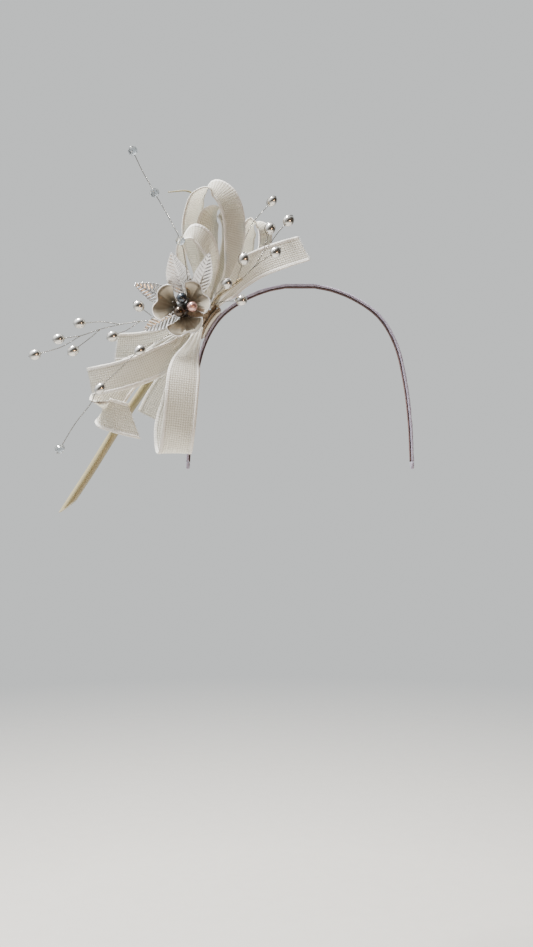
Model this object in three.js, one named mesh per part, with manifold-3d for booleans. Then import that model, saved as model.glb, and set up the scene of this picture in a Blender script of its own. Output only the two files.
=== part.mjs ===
// Fascinator headpiece: a narrow satin-covered head band that carries, over the wearer's right
// temple, a bunch of straw-cloth loops and tails, a stripped feather quill, a small metal-leaf
// flower and four wire sprays of pearls and crystals.
//
// Millimetres. +Z is up, the band lies in the XZ plane from ear to ear, and the wearer faces -Y.
// The origin is the middle of the band's inner face at the crown. The trim is on the -X side.

import * as THREE from "three";
import { mergeVertices } from "three/addons/utils/BufferGeometryUtils.js";
import Module from "manifold-3d";

// ---- Driving dimensions ----------------------------------------------------------------------

const FIT_GAP = 0.3; // left between pieces that touch

// Half of the band's inner face, from the end of its flat crown down to the tip: x, z.
const BAND_ROUTE = [
  [12, 0], [26, -3], [44, -10.5], [62.4, -24], [75, -45], [82.5, -75], [86.5, -108], [88, -139],
];
const BAND_STEPS = 14;
const CROWN_GAP = 0.3; // half of the gap that the crown hinge needs
const SATIN_WIDTH = 8;
const SATIN_DEPTH = 2;
const SATIN_WALL = 0.35;
const CORE_WIDTH = 6.2;
const CORE_DEPTH = 0.7;
const LINING_WIDTH = 7;
const LINING_DEPTH = 0.5;
const TIP_LENGTH = 6;
const TIP_WIDTH = 8.6;

const SEAT_ON_BAND = 0.375; // where the trim sits, as a share of the band's half route
const BASE_LENGTH = 26;
const BASE_WIDTH = 26;
const BASE_FRONT_SHIFT = 6; // how far the base is set towards the face
const FELT_THICK = 1;
const BASE_THICK = 1.6;
const WRAP_RADIUS = 5.5;
const WRAP_LENGTH = 13;
const WRAP_CENTRE = [-78, -15, -25.2];

const STRIP_WIDTH = 27; // straw-cloth strip, cut edges turned in
const STRIP_ROOT_WIDTH = 6; // gathered where it is bound
const STRIP_THICK = 1;
const GATHER_LENGTH = 0.24; // share of a strip's length over which the gathers open out

const QUILL_RADIUS = 3.5;
const LEAF_THICK = 0.7;
const PETAL_THICK = 0.7;
const PEARL_RADIUS = 4.2;
const PEARL_STRETCH = 1.12; // along its hole, as a share of the round size
const CRYSTAL_RADIUS = 3.7;
const CENTRE_BEAD_RADIUS = 4.1;
const HOLE_RADIUS = 1;
const WIRE_RADIUS = 0.45; // two strands twisted together

// ---- Strips: middle line x, y, z and the way the width runs there ------------------------------

const STRIPS = {
  loop_top_outer: {
    route: [
      [-80.5, -17, -17, 0.2, 0.95, 0.1], [-80.5, -17, 12, 0.45, 0.87, 0.21],
      [-85, -19, 37, 0.5, 0.82, 0.26], [-83.5, -19, 57, 0.47, 0.8, 0.36],
      [-79, -19.5, 69.5, 0.48, 0.74, 0.45], [-70, -20, 76, 0.52, 0.71, 0.46],
      [-60, -19, 71, 0.6, 0.71, 0.38], [-53.5, -17, 58, 0.62, 0.74, 0.27],
      [-52, -16, 38, 0.58, 0.79, 0.2], [-57, -15, 11, 0.3, 0.93, 0.2],
      [-70.5, -16.5, -18.5, 0.1, 0.98, 0.1],
    ],
  },
  loop_top_inner: {
    width: 21,
    route: [
      [-77.5, -13, -16.5, 0.1, 0.98, 0.1], [-73.5, -14, 5, 0.5, 0.8, 0.2],
      [-73.5, -15, 30, 0.76, 0.6, 0.22], [-73, -15, 46, 0.76, 0.58, 0.28],
      [-70, -14.5, 55, 0.7, 0.62, 0.34], [-63, -13.5, 59.5, 0.64, 0.68, 0.34],
      [-57, -12.5, 52, 0.58, 0.76, 0.25], [-56.5, -12.5, 38, 0.5, 0.83, 0.2],
      [-61.5, -13, 17, 0.35, 0.9, 0.17], [-73.7, -12, -17, 0.1, 0.98, 0.1],
    ],
  },
  loop_top_small: {
    width: 20,
    route: [
      [-74, -26, -18.5, 0.2, 0.9, 0.3], [-69, -31, 4, 0.3, 0.78, 0.54],
      [-68.5, -36, 20, 0.4, 0.66, 0.64], [-75, -42.5, 31, 0.42, 0.58, 0.7],
      [-83, -45, 35, 0.36, 0.62, 0.7], [-91.5, -43.3, 29, 0.25, 0.76, 0.6],
      [-92, -37.7, 14, 0.25, 0.85, 0.47], [-86, -30, -6, 0.25, 0.9, 0.3],
      [-79, -26.5, -17.5, 0.2, 0.9, 0.3],
    ],
  },
  loop_back: {
    width: 22,
    route: [
      [-71, 3, -14, 0.2, 0.97, 0.1], [-56, 15, 6, 0.3, 0.93, 0.15],
      [-44, 26, 29, 0.42, 0.88, 0.18], [-41.5, 29, 49, 0.5, 0.83, 0.24],
      [-37, 31, 58, 0.54, 0.81, 0.24], [-29.5, 31, 55, 0.52, 0.83, 0.2],
      [-29, 28, 38, 0.42, 0.9, 0.12], [-40, 21, 16, 0.25, 0.95, 0.1],
      [-62, 6.5, -10, 0.2, 0.97, 0.05],
    ],
  },
  tail_right: {
    width: 23,
    slant: 0.05,
    route: [
      [-67.5, -8, -15.5, 0.6, 0.05, -0.8], [-60, 0.5, -0.5, 0.5, 0, -0.87],
      [-50, -1, 9, 0.4, 0, -0.92], [-33, -2, 19, 0.27, -0.1, -0.96],
      [-13, -5, 26, 0.24, -0.17, -0.96], [5, -7, 31, 0.2, -0.27, -0.95],
    ],
  },
  loop_left: {
    width: 22,
    route: [
      [-84.5, -23.5, -30.5, 0.24, 0, -0.97], [-95, -33, -51, 0.12, 0, -1],
      [-115, -45, -66, 0.07, 0, -1], [-136, -50, -74, 0.14, 0, -0.99],
      [-152, -48, -77.5, 0.2, 0, -0.98], [-161, -42, -78.5, 0.2, 0, -0.98],
      [-153, -36, -76, 0.2, 0, -0.98], [-131, -33.5, -71.5, 0.15, 0, -0.99],
      [-110, -30.5, -61.5, 0.15, 0, -0.99], [-96, -27.5, -48, 0.19, 0, -0.98],
      [-84.5, -18, -29.5, 0.2, 0, -0.98],
    ],
  },
  loop_down: {
    width: 25,
    route: [
      [-79, -24, -34.5, 0.62, 0.48, 0.62], [-83, -35, -48, 0.75, 0.38, 0.5],
      [-88, -46, -62, 0.87, 0.29, 0.4], [-89.5, -53, -77, 0.96, 0.17, 0.21],
      [-91, -56, -98, 1, 0.09, 0.01], [-93.5, -53, -120, 1, 0, 0],
      [-96.5, -43, -132, 1, 0, 0], [-100, -33, -129, 1, 0, 0],
      [-101.5, -26, -112, 1, -0.06, 0], [-95.5, -22, -90, 1, 0, 0.1],
      [-88, -24, -63, 0.95, 0.08, 0.31], [-84.5, -19.5, -48, 0.8, 0.2, 0.5],
      [-82.5, -12.5, -38.5, 0.71, 0.26, 0.65],
    ],
  },
  tail_lower_left: {
    width: 25,
    slant: 0.12,
    route: [
      [-85, -17, -33.5, 0.35, 0, -0.93], [-95, -17.5, -44.5, 0.3, 0, -0.95],
      [-113, -20.5, -61, 0.2, -0.06, -0.98], [-135, -22, -71.5, 0.15, -0.06, -0.99],
      [-146, -24, -85, 0.1, -0.1, -0.99], [-154, -28.5, -99.5, 0.03, -0.09, -0.99],
      [-143, -33.5, -104.5, 0.1, 0, -1], [-121, -34.5, -110, 0.3, 0, -0.95],
    ],
  },
  tail_inner: {
    width: 21,
    route: [
      [-83, -7.5, -35, 0.7, 0, -0.7], [-91, -6, -52, 0.6, 0, -0.8],
      [-100, -4, -69, 0.56, 0, -0.83], [-112, -3, -87, 0.64, 0, -0.77],
      [-120, -3, -103, 0.61, 0, -0.79],
    ],
  },
  tail_upper_left: {
    width: 22,
    slant: 0.06,
    route: [
      [-84.5, -3.5, -27.5, 0.1, 0, -1], [-104, -3.5, -41, 0, 0, -1],
      [-126, -3.5, -46.5, -0.08, 0, -1], [-148, -5, -48, -0.26, 0, -0.97],
    ],
  },
};
const STRIP_STEPS = 24;

// ---- Quill, leaves and petals -----------------------------------------------------------------

// From the slant-cut barrel to the fine curled tip: x, y, z and the share of the full radius.
const QUILL_ROUTE = [
  [-187, -18, -181, 0.25], [-181.5, -17.5, -172, 0.95], [-165, -15, -146, 1],
  [-144.5, -13, -112.5, 1], [-118, -13, -73, 0.98], [-101.5, -12.5, -45, 0.95],
  [-90, -11.5, -28, 0.9], [-84.5, -5, -8, 0.75], [-80, 1, 12, 0.6], [-78, 8, 40, 0.45],
  [-80, 14, 66, 0.32], [-89, 17, 81, 0.22], [-107, 17, 81, 0.14],
];
const QUILL_STEPS = 28;
const QUILL_SIDES = 8;

// Each leaf runs from its stalk end to its point; face is the way its upper side looks.
const LEAVES = {
  leaf_upper_left: { from: [-89.5, -35.5, -12], to: [-98, -56, 17.5], width: 19,
    face: [-0.1, -0.84, -0.54] },
  leaf_upper_right: { from: [-81.3, -33, -12], to: [-70, -52, 18], width: 14.5, face: [0.2, -0.84, -0.5] },
  leaf_left: { from: [-96, -34, -17], to: [-128, -36, -3], width: 15, face: [0, -1, 0] },
  leaf_lower_left: { from: [-95, -34, -25], to: [-121, -36, -38.5], width: 14, face: [0, -1, 0] },
};
const LEAF_BULGE = 2; // how far the midrib stands behind the raised halves

const FLOWER_CENTRE = [-90.7, -42, -23];
const FLOWER_FACE = [-0.1, -0.98, 0.08];
const PETAL_LENGTH = 22.5;
const PETAL_SPREAD = 0.86; // half of a petal's angle at the rim, radians
const PETAL_CUP = 6.5; // how far the rim stands in front of the petal's foot
const PETAL_NOTCH = 0.16; // depth of the notch between the two lobes, as a share of the length
const PETALS = { petal_left: 163, petal_right: 33, petal_bottom: 283 }; // degrees, from +X to +Z

const CENTRE_BEADS = {
  bead_grey: { at: [-90.7, -50.5, -15.8], colour: 0x4a5058 },
  bead_bronze: { at: [-92.6, -50.5, -26.2], colour: 0x2e2620 },
  bead_rose: { at: [-83, -50.5, -22.4], colour: 0xc98f86 },
};
const CUP_RADIUS = 5;

// ---- Wire sprays -----------------------------------------------------------------------------

// A branch is a list of points; a named bead on it is threaded at the point that it holds.
const SPRAYS = {
  wire_crystal: [
    [
      [-85, -37, -15], [-86, -45, -6], [-87.5, -55, 8],
      { name: "crystal_low", kind: "crystal", at: [-91, -62, 25] },
      [-102, -58, 47],
      { name: "crystal_mid", kind: "crystal", at: [-111, -53, 63] },
      [-121, -50, 81],
      { name: "crystal_top", kind: "crystal", at: [-128, -48, 96] },
    ],
  ],
  wire_right: [
    [
      [-70, -26, -18], [-63, -32, -11], [-50, -41, -3], [-39, -44, 6], [-31, -44, 17],
      [-27, -44, 28],
      { name: "pearl_right_1", kind: "pearl", at: [-24, -44, 38] },
    ],
    [
      [-31, -44, 17], [-23, -44, 28], [-18, -44, 35],
      { name: "pearl_right_2", kind: "pearl", at: [-10, -44, 44] },
    ],
    [
      [-39, -44, 6], [-31, -44, 13],
      { name: "pearl_right_3", kind: "pearl", at: [-20, -44, 20] },
    ],
    [
      [-50, -41, -3], [-47.5, -45, 4],
      { name: "pearl_right_4", kind: "pearl", at: [-44, -48, 14] },
    ],
    [
      [-70, -26, -18], [-66, -33, -11],
      { name: "pearl_right_5", kind: "pearl", at: [-57, -45, -4] },
    ],
    [
      [-70, -26, -18], [-62, -32, -16],
      { name: "pearl_right_6", kind: "pearl", at: [-46, -40, -16] },
    ],
  ],
  wire_left: [
    [
      [-85.5, -26, -25.5], [-100, -27, -27], [-112, -31, -30], [-124, -35.5, -31.5], [-138, -44, -35],
      [-153, -44, -38.5], [-168, -44, -43.5],
      { name: "pearl_left_1", kind: "pearl", at: [-185, -44, -46] },
    ],
    [
      [-138, -44, -35], [-152, -44.5, -33],
      { name: "pearl_left_2", kind: "pearl", at: [-169, -44, -34] },
    ],
    [
      [-168, -44, -43.5], [-183, -46, -52.5],
      { name: "pearl_left_3", kind: "pearl", at: [-203, -44, -58] },
    ],
    [
      [-153, -44, -38.5], [-162, -44, -46],
      { name: "pearl_left_4", kind: "pearl", at: [-174, -44, -55] },
    ],
    [
      [-124, -35.5, -31.5], [-133, -43, -39],
      { name: "pearl_left_5", kind: "pearl", at: [-144, -44, -44] },
    ],
    [
      [-112, -31, -30], [-117, -38, -26],
      { name: "pearl_left_6", kind: "pearl", at: [-124, -44, -21] },
    ],
  ],
  wire_lower: [
    [
      [-87, -33, -26.5], [-94, -35, -34.5], [-101.5, -39, -42], [-110.5, -49, -49],
      { name: "pearl_lower_1", kind: "drop", at: [-121.5, -57, -56] },
      [-136, -60, -70],
      { name: "pearl_lower_2", kind: "drop", at: [-151, -61, -85] },
      [-158, -60, -96], [-170, -58, -111],
      { name: "crystal_end", kind: "crystal", at: [-182, -56, -130] },
    ],
  ],
  wire_back: [
    [
      [-65, -1, -10], [-57, 3.5, 9], [-48, 4, 31], [-38, 1, 52],
      { name: "pearl_back", kind: "drop", at: [-22.5, -10, 67] },
    ],
  ],
};
const WIRE_SIDES = 5;
const WIRE_STEP = 12;
const DROP_STRETCH = 1.3;

// ---- Helpers -----------------------------------------------------------------------------------

const wasm = await Module();
wasm.setup();

const vec = (p) => new THREE.Vector3(p[0], p[1], p[2]);
const UP = new THREE.Vector3(0, 1, 0);

// One closed mesh from points and triangles, with its faces turned outwards.
function closedMesh(points, triangles) {
  let volume = 0;
  for (const [a, b, c] of triangles) {
    volume += points[a].dot(points[b].clone().cross(points[c]));
  }
  const turned = volume < 0 ? triangles.map(([a, b, c]) => [a, c, b]) : triangles;
  const geometry = new THREE.BufferGeometry().setFromPoints(points);
  geometry.setIndex(turned.flat());
  geometry.computeVertexNormals();
  return geometry;
}

// A solid through a row of rings with the same number of points, closed by a fan at each end.
function loft(rings) {
  const sides = rings[0].length;
  const points = rings.flat();
  const triangles = [];
  for (let r = 0; r + 1 < rings.length; r++) {
    for (let s = 0; s < sides; s++) {
      const a = r * sides + s;
      const b = r * sides + ((s + 1) % sides);
      triangles.push([a, b, b + sides], [a, b + sides, a + sides]);
    }
  }
  const last = (rings.length - 1) * sides;
  for (let s = 1; s + 1 < sides; s++) {
    triangles.push([0, s + 1, s], [last, last + s, last + s + 1]);
  }
  return closedMesh(points, triangles);
}

// A thin closed solid of even thickness about surface(u, v), with u and v from 0 to 1.
function plate(surface, stepsU, stepsV, thickness) {
  const nudge = 1e-3;
  const near = [];
  const far = [];
  for (let j = 0; j <= stepsV; j++) {
    for (let i = 0; i <= stepsU; i++) {
      const u = i / stepsU;
      const v = j / stepsV;
      const du = surface(Math.min(u + nudge, 1), v).sub(surface(Math.max(u - nudge, 0), v));
      const dv = surface(u, Math.min(v + nudge, 1)).sub(surface(u, Math.max(v - nudge, 0)));
      const half = du.cross(dv).normalize().multiplyScalar(thickness / 2);
      near.push(surface(u, v).add(half));
      far.push(surface(u, v).sub(half));
    }
  }
  const row = stepsU + 1;
  const count = near.length;
  const triangles = [];
  for (let j = 0; j < stepsV; j++) {
    for (let i = 0; i < stepsU; i++) {
      const a = j * row + i;
      triangles.push([a, a + 1, a + row + 1], [a, a + row + 1, a + row]);
      const b = a + count;
      triangles.push([b, b + row + 1, b + 1], [b, b + row, b + row + 1]);
    }
  }
  const wall = (a, b) => triangles.push([a, a + count, b + count], [a, b + count, b]);
  for (let i = 0; i < stepsU; i++) {
    wall(i, i + 1);
    wall(stepsV * row + i + 1, stepsV * row + i);
  }
  for (let j = 0; j < stepsV; j++) {
    wall((j + 1) * row, j * row);
    wall(j * row + stepsU, (j + 1) * row + stepsU);
  }
  return closedMesh([...near, ...far], triangles);
}

function toSolid(geometry) {
  const bare = geometry.clone();
  bare.deleteAttribute("normal");
  bare.deleteAttribute("uv");
  const merged = mergeVertices(bare, 1e-3);
  return new wasm.Manifold(
    new wasm.Mesh({
      numProp: 3,
      vertProperties: merged.attributes.position.array,
      triVerts: new Uint32Array(merged.index.array),
    }),
  );
}

function toGeometry(solid) {
  const mesh = solid.getMesh();
  const geometry = new THREE.BufferGeometry();
  geometry.setAttribute("position", new THREE.BufferAttribute(mesh.vertProperties, 3));
  geometry.setIndex(new THREE.BufferAttribute(mesh.triVerts, 1));
  geometry.computeVertexNormals();
  return geometry;
}

const fascinator = new THREE.Group();

function add(name, geometry, colour, roughness, metalness = 0) {
  const material = new THREE.MeshStandardMaterial({
    color: colour,
    roughness,
    metalness,
    side: THREE.DoubleSide,
  });
  const mesh = new THREE.Mesh(geometry, material);
  mesh.name = name;
  fascinator.add(mesh);
  return mesh;
}

// ---- Head band: core, satin sleeve, lining and folded tips, one set for each half ---------------

const bandCurve = new THREE.CatmullRomCurve3(BAND_ROUTE.map(([x, z]) => new THREE.Vector3(x, 0, z)));

// A point on the band's inner face, and the way out from the head there, on the +X half.
function bandAt(share) {
  const point = bandCurve.getPointAt(share);
  const along = share === 0 ? new THREE.Vector3(1, 0, 0) : bandCurve.getTangentAt(share);
  return { point, out: new THREE.Vector3(-along.z, 0, along.x), along };
}

// A bar along one half of the band, between two depths measured out from the inner face.
function bandBar(side, width, depthFrom, depthTo, overrun = 0) {
  const ring = ({ point, out }) =>
    [
      [-1, depthFrom], [1, depthFrom], [1, depthTo], [-1, depthTo],
    ].map(([across, depth]) => {
      const corner = point.clone().addScaledVector(out, depth);
      return new THREE.Vector3(side * corner.x, (across * width) / 2, corner.z);
    });
  const crown = {
    point: new THREE.Vector3(CROWN_GAP - overrun, 0, 0),
    out: new THREE.Vector3(0, 0, 1),
  };
  const rings = [ring(crown)];
  for (let i = 0; i <= BAND_STEPS; i++) rings.push(ring(bandAt(i / BAND_STEPS)));
  if (overrun > 0) {
    const end = bandAt(1);
    end.point.addScaledVector(end.along, overrun);
    rings.push(ring(end));
  }
  return loft(rings);
}

const SATIN_FROM = LINING_DEPTH + FIT_GAP;
const SATIN_TO = SATIN_FROM + SATIN_DEPTH;
const CORE_FROM = SATIN_FROM + (SATIN_DEPTH - CORE_DEPTH) / 2;

function sleeve(side) {
  const outer = toSolid(bandBar(side, SATIN_WIDTH, SATIN_FROM, SATIN_TO));
  const inner = toSolid(
    bandBar(side, SATIN_WIDTH - 2 * SATIN_WALL, SATIN_FROM + SATIN_WALL, SATIN_TO - SATIN_WALL, 0.2),
  );
  return toGeometry(outer.subtract(inner));
}

function bandTip(side) {
  const end = bandAt(1);
  const rings = [FIT_GAP, TIP_LENGTH - 1.5, TIP_LENGTH].map((down, i) => {
    const shrink = i === 2 ? 0.55 : 1;
    return [[-1, 0], [1, 0], [1, 1], [-1, 1]].map(([across, depth]) => {
      const middle = (SATIN_TO + 0) / 2;
      const away = middle + (depth - 0.5) * SATIN_TO * shrink;
      const corner = end.point
        .clone()
        .addScaledVector(end.along, down)
        .addScaledVector(end.out, away);
      return new THREE.Vector3(side * corner.x, (across * TIP_WIDTH * shrink) / 2, corner.z);
    });
  });
  return loft(rings);
}

for (const [side, label] of [[-1, "left"], [1, "right"]]) {
  const coreBar = bandBar(side, CORE_WIDTH, CORE_FROM, CORE_FROM + CORE_DEPTH);
  add(`band_core_${label}`, coreBar, 0x9a9ea3, 0.35, 0.9);
  add(`band_satin_${label}`, sleeve(side), 0xb9b2c6, 0.4);
  add(`band_lining_${label}`, bandBar(side, LINING_WIDTH, 0, LINING_DEPTH), 0x3c2c2c, 0.9);
  add(`band_tip_${label}`, bandTip(side), 0xb9b2c6, 0.45);
}

// ---- Base: felt pad and stiff cloth plate that follow the band, and the bound roots -------------

// A rounded plate over the band's shoulder, at a height measured out from the band's inner face.
function basePlate(length, width, height, thickness) {
  const total = bandCurve.getLength();
  const surface = (u, v) => {
    const run = (v - 0.5) * length;
    const { point, out } = bandAt(SEAT_ON_BAND + run / total);
    const round = Math.sqrt(1 - (0.92 * 2 * (v - 0.5)) ** 2);
    const across = (u - 0.5) * width * round - BASE_FRONT_SHIFT;
    const place = point.addScaledVector(out, height + thickness / 2);
    return new THREE.Vector3(-place.x, across, place.z);
  };
  return plate(surface, 4, 10, thickness);
}

const FELT_FROM = SATIN_TO + FIT_GAP;
const BASE_FROM = FELT_FROM + FELT_THICK + FIT_GAP;
add("base_felt", basePlate(BASE_LENGTH - 3, BASE_WIDTH - 3, FELT_FROM, FELT_THICK), 0xe9e5da, 0.95);
add("base_plate", basePlate(BASE_LENGTH, BASE_WIDTH, BASE_FROM, BASE_THICK), 0xded8c8, 0.8);

function rootWrap() {
  const half = WRAP_LENGTH / 2;
  const profile = [
    [0, -half], [WRAP_RADIUS * 0.7, -half], [WRAP_RADIUS, -half * 0.6],
    [WRAP_RADIUS * 0.93, 0], [WRAP_RADIUS, half * 0.6], [WRAP_RADIUS * 0.7, half], [0, half],
  ];
  return new THREE.LatheGeometry(profile.map(([x, y]) => new THREE.Vector2(x, y)), 14);
}

const shoulder = bandAt(SEAT_ON_BAND).along;
const wrap = add("root_wrap", rootWrap(), 0x8a7c6c, 0.8);
wrap.position.copy(vec(WRAP_CENTRE));
wrap.quaternion.setFromUnitVectors(UP, new THREE.Vector3(-shoulder.x, 0, shoulder.z));

// ---- Straw-cloth strips --------------------------------------------------------------------------

// A strip is gathered at a bound end and opens to its full width; a loop is bound at both ends.
function strip({ route, width = STRIP_WIDTH, slant = 0 }, isLoop) {
  const middle = new THREE.CatmullRomCurve3(route.map(vec));
  const ways = new THREE.CatmullRomCurve3(route.map((p) => new THREE.Vector3(p[3], p[4], p[5])));
  const surface = (u, v) => {
    const share = v * (1 - Math.abs(slant) / 2 + slant * (u - 0.5));
    const t = middle.getUtoTmapping(share, 0);
    const along = middle.getTangent(t);
    const across = ways.getPoint(t);
    across.addScaledVector(along, -across.dot(along)).normalize();
    const toRoot = isLoop ? Math.min(share, 1 - share) : share;
    const open = THREE.MathUtils.smoothstep(toRoot, 0, GATHER_LENGTH);
    const here = THREE.MathUtils.lerp(STRIP_ROOT_WIDTH, width, open);
    return middle.getPoint(t).addScaledVector(across, (u - 0.5) * here);
  };
  return plate(surface, 1, STRIP_STEPS, STRIP_THICK);
}

for (const [name, made] of Object.entries(STRIPS)) {
  add(name, strip(made, name.startsWith("loop")), 0xebe8df, 0.75);
}

// ---- Feather quill -------------------------------------------------------------------------------

function quill() {
  const middle = new THREE.CatmullRomCurve3(QUILL_ROUTE.map(vec));
  const sizes = new THREE.CatmullRomCurve3(QUILL_ROUTE.map((p) => new THREE.Vector3(p[3], 0, 0)));
  const frames = middle.computeFrenetFrames(QUILL_STEPS, false);
  const rings = [];
  for (let i = 0; i <= QUILL_STEPS; i++) {
    const t = middle.getUtoTmapping(i / QUILL_STEPS, 0);
    const radius = QUILL_RADIUS * sizes.getPoint(t).x;
    const ring = [];
    for (let s = 0; s < QUILL_SIDES; s++) {
      const turn = (2 * Math.PI * s) / QUILL_SIDES;
      const point = middle.getPoint(t);
      point.addScaledVector(frames.normals[i], radius * Math.cos(turn));
      point.addScaledVector(frames.binormals[i], radius * Math.sin(turn));
      ring.push(point);
    }
    rings.push(ring);
  }
  return loft(rings);
}

add("feather_quill", quill(), 0xcdc3a5, 0.35);

// ---- Flower and leaves -----------------------------------------------------------------------------

function leaf({ from, to, width, face }) {
  const start = vec(from);
  const along = vec(to).sub(start);
  const out = vec(face).normalize();
  const across = along.clone().cross(out).normalize();
  const surface = (u, v) => {
    const side = 2 * u - 1;
    const half = (width / 2) * Math.max(Math.sin(Math.PI * (0.05 + 0.92 * v ** 0.85)), 0.06);
    const lift = LEAF_BULGE * Math.abs(side) * Math.sin(Math.PI * v);
    return start
      .clone()
      .addScaledVector(along, v)
      .addScaledVector(across, side * half)
      .addScaledVector(out, lift);
  };
  return plate(surface, 4, 8, LEAF_THICK);
}

for (const [name, made] of Object.entries(LEAVES)) {
  add(name, leaf(made), 0xd9dbdc, 0.35, 0.6);
}

const flowerFace = vec(FLOWER_FACE).normalize();
const flowerUp = new THREE.Vector3(0, 0, 1);
flowerUp.addScaledVector(flowerFace, -flowerUp.dot(flowerFace)).normalize();
const flowerRight = flowerUp.clone().cross(flowerFace).multiplyScalar(-1).normalize();

// A cupped petal with two round lobes, on the flower's own plane.
function petal(degrees) {
  const middleTurn = THREE.MathUtils.degToRad(degrees);
  const surface = (u, v) => {
    const side = 2 * u - 1;
    const notch = PETAL_NOTCH * Math.exp(-((side / 0.22) ** 2)) * v ** 2;
    const round = 0.22 * side ** 4 * v;
    const reach = 4 + (PETAL_LENGTH - 4) * v * (1 - notch - round);
    const spread = PETAL_SPREAD * (0.45 + 0.55 * Math.sin((Math.PI / 2) * v));
    const turn = middleTurn + side * spread;
    const lift = PETAL_CUP * v ** 1.6 - 1.2 * v * Math.cos(Math.PI * side);
    return vec(FLOWER_CENTRE)
      .addScaledVector(flowerRight, reach * Math.cos(turn))
      .addScaledVector(flowerUp, reach * Math.sin(turn))
      .addScaledVector(flowerFace, lift);
  };
  return plate(surface, 8, 6, PETAL_THICK);
}

for (const [name, degrees] of Object.entries(PETALS)) {
  add(name, petal(degrees), 0x9b8f80, 0.25, 0.5);
}

function flowerCup() {
  const profile = [
    [0, -2], [2, -2], [3, -0.5], [CUP_RADIUS * 0.6, 1.2], [CUP_RADIUS * 0.45, 2.6], [0, 3],
  ];
  return new THREE.LatheGeometry(profile.map(([x, y]) => new THREE.Vector2(x, y)), 12);
}

const cup = add("flower_cup", flowerCup(), 0x2b2523, 0.5);
cup.position.copy(vec(FLOWER_CENTRE));
cup.quaternion.setFromUnitVectors(UP, flowerFace);

// ---- Beads and wires ---------------------------------------------------------------------------------

// A drilled bead about the Y axis: its outline goes round the outside and back through the hole.
function bead(radius, stretch, sides, rows) {
  const half = Math.sqrt(radius ** 2 - HOLE_RADIUS ** 2);
  const start = Math.atan2(-half, HOLE_RADIUS);
  const profile = [];
  for (let i = 0; i <= rows; i++) {
    const turn = start * (1 - (2 * i) / rows);
    profile.push(new THREE.Vector2(radius * Math.cos(turn), radius * Math.sin(turn) * stretch));
  }
  profile.push(profile[0].clone());
  return new THREE.LatheGeometry(profile, sides);
}

const BEADS = {
  pearl: { radius: PEARL_RADIUS, stretch: PEARL_STRETCH, sides: 8, rows: 6, colour: 0xe6e4de, rough: 0.2 },
  drop: { radius: 3.7, stretch: DROP_STRETCH, sides: 8, rows: 6, colour: 0xe6e4de, rough: 0.2 },
  crystal: { radius: CRYSTAL_RADIUS, stretch: 1, sides: 8, rows: 4, colour: 0xdfe6ea, rough: 0.05 },
};

function addBead(name, at, way, { radius, stretch, sides, rows, colour, rough }) {
  const mesh = add(name, bead(radius, stretch, sides, rows), colour, rough);
  mesh.position.copy(vec(at));
  mesh.quaternion.setFromUnitVectors(UP, way);
}

const centreKind = { radius: CENTRE_BEAD_RADIUS, stretch: 1, sides: 10, rows: 8, rough: 0.15 };
for (const [name, { at, colour }] of Object.entries(CENTRE_BEADS)) {
  addBead(name, at, flowerFace, { ...centreKind, colour });
}

// The points of a branch, with its wire led straight through each bead, and the beads placed.
function threadBranch(branch) {
  const place = (item) => vec(Array.isArray(item) ? item : item.at);
  const points = [];
  branch.forEach((item, i) => {
    if (Array.isArray(item)) {
      points.push(vec(item));
      return;
    }
    const isLast = i === branch.length - 1;
    const kind = BEADS[item.kind];
    const way = place(isLast ? item : branch[i + 1]).sub(place(branch[i - 1])).normalize();
    const half = kind.radius * kind.stretch;
    addBead(item.name, item.at, way, kind);
    points.push(vec(item.at).addScaledVector(way, -half - 1.2));
    points.push(vec(item.at));
    points.push(vec(item.at).addScaledVector(way, half + (isLast ? 0.6 : 1.2)));
  });
  return points;
}

function wireSection() {
  const outline = [];
  for (let s = 0; s < WIRE_SIDES; s++) {
    const turn = (2 * Math.PI * s) / WIRE_SIDES;
    outline.push(new THREE.Vector2(WIRE_RADIUS * Math.cos(turn), WIRE_RADIUS * Math.sin(turn)));
  }
  return new THREE.Shape(outline);
}

// All branches of a spray are twisted from one length of wire, so they make one solid.
function wire(branches) {
  const solids = branches.map((branch) => {
    const curve = new THREE.CatmullRomCurve3(threadBranch(branch));
    const steps = Math.round(curve.getLength() / WIRE_STEP) + branch.length + 3;
    const options = { steps, bevelEnabled: false, extrudePath: curve };
    return toSolid(new THREE.ExtrudeGeometry(wireSection(), options));
  });
  return toGeometry(solids.reduce((joined, solid) => joined.add(solid)));
}

for (const [name, branches] of Object.entries(SPRAYS)) {
  add(name, wire(branches), 0xc4c4c2, 0.3, 0.9);
}

export default fascinator;
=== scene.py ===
import math

import bpy
import numpy as np
from bpy.props import FloatProperty, FloatVectorProperty, IntProperty, PointerProperty
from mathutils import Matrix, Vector, noise


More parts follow.
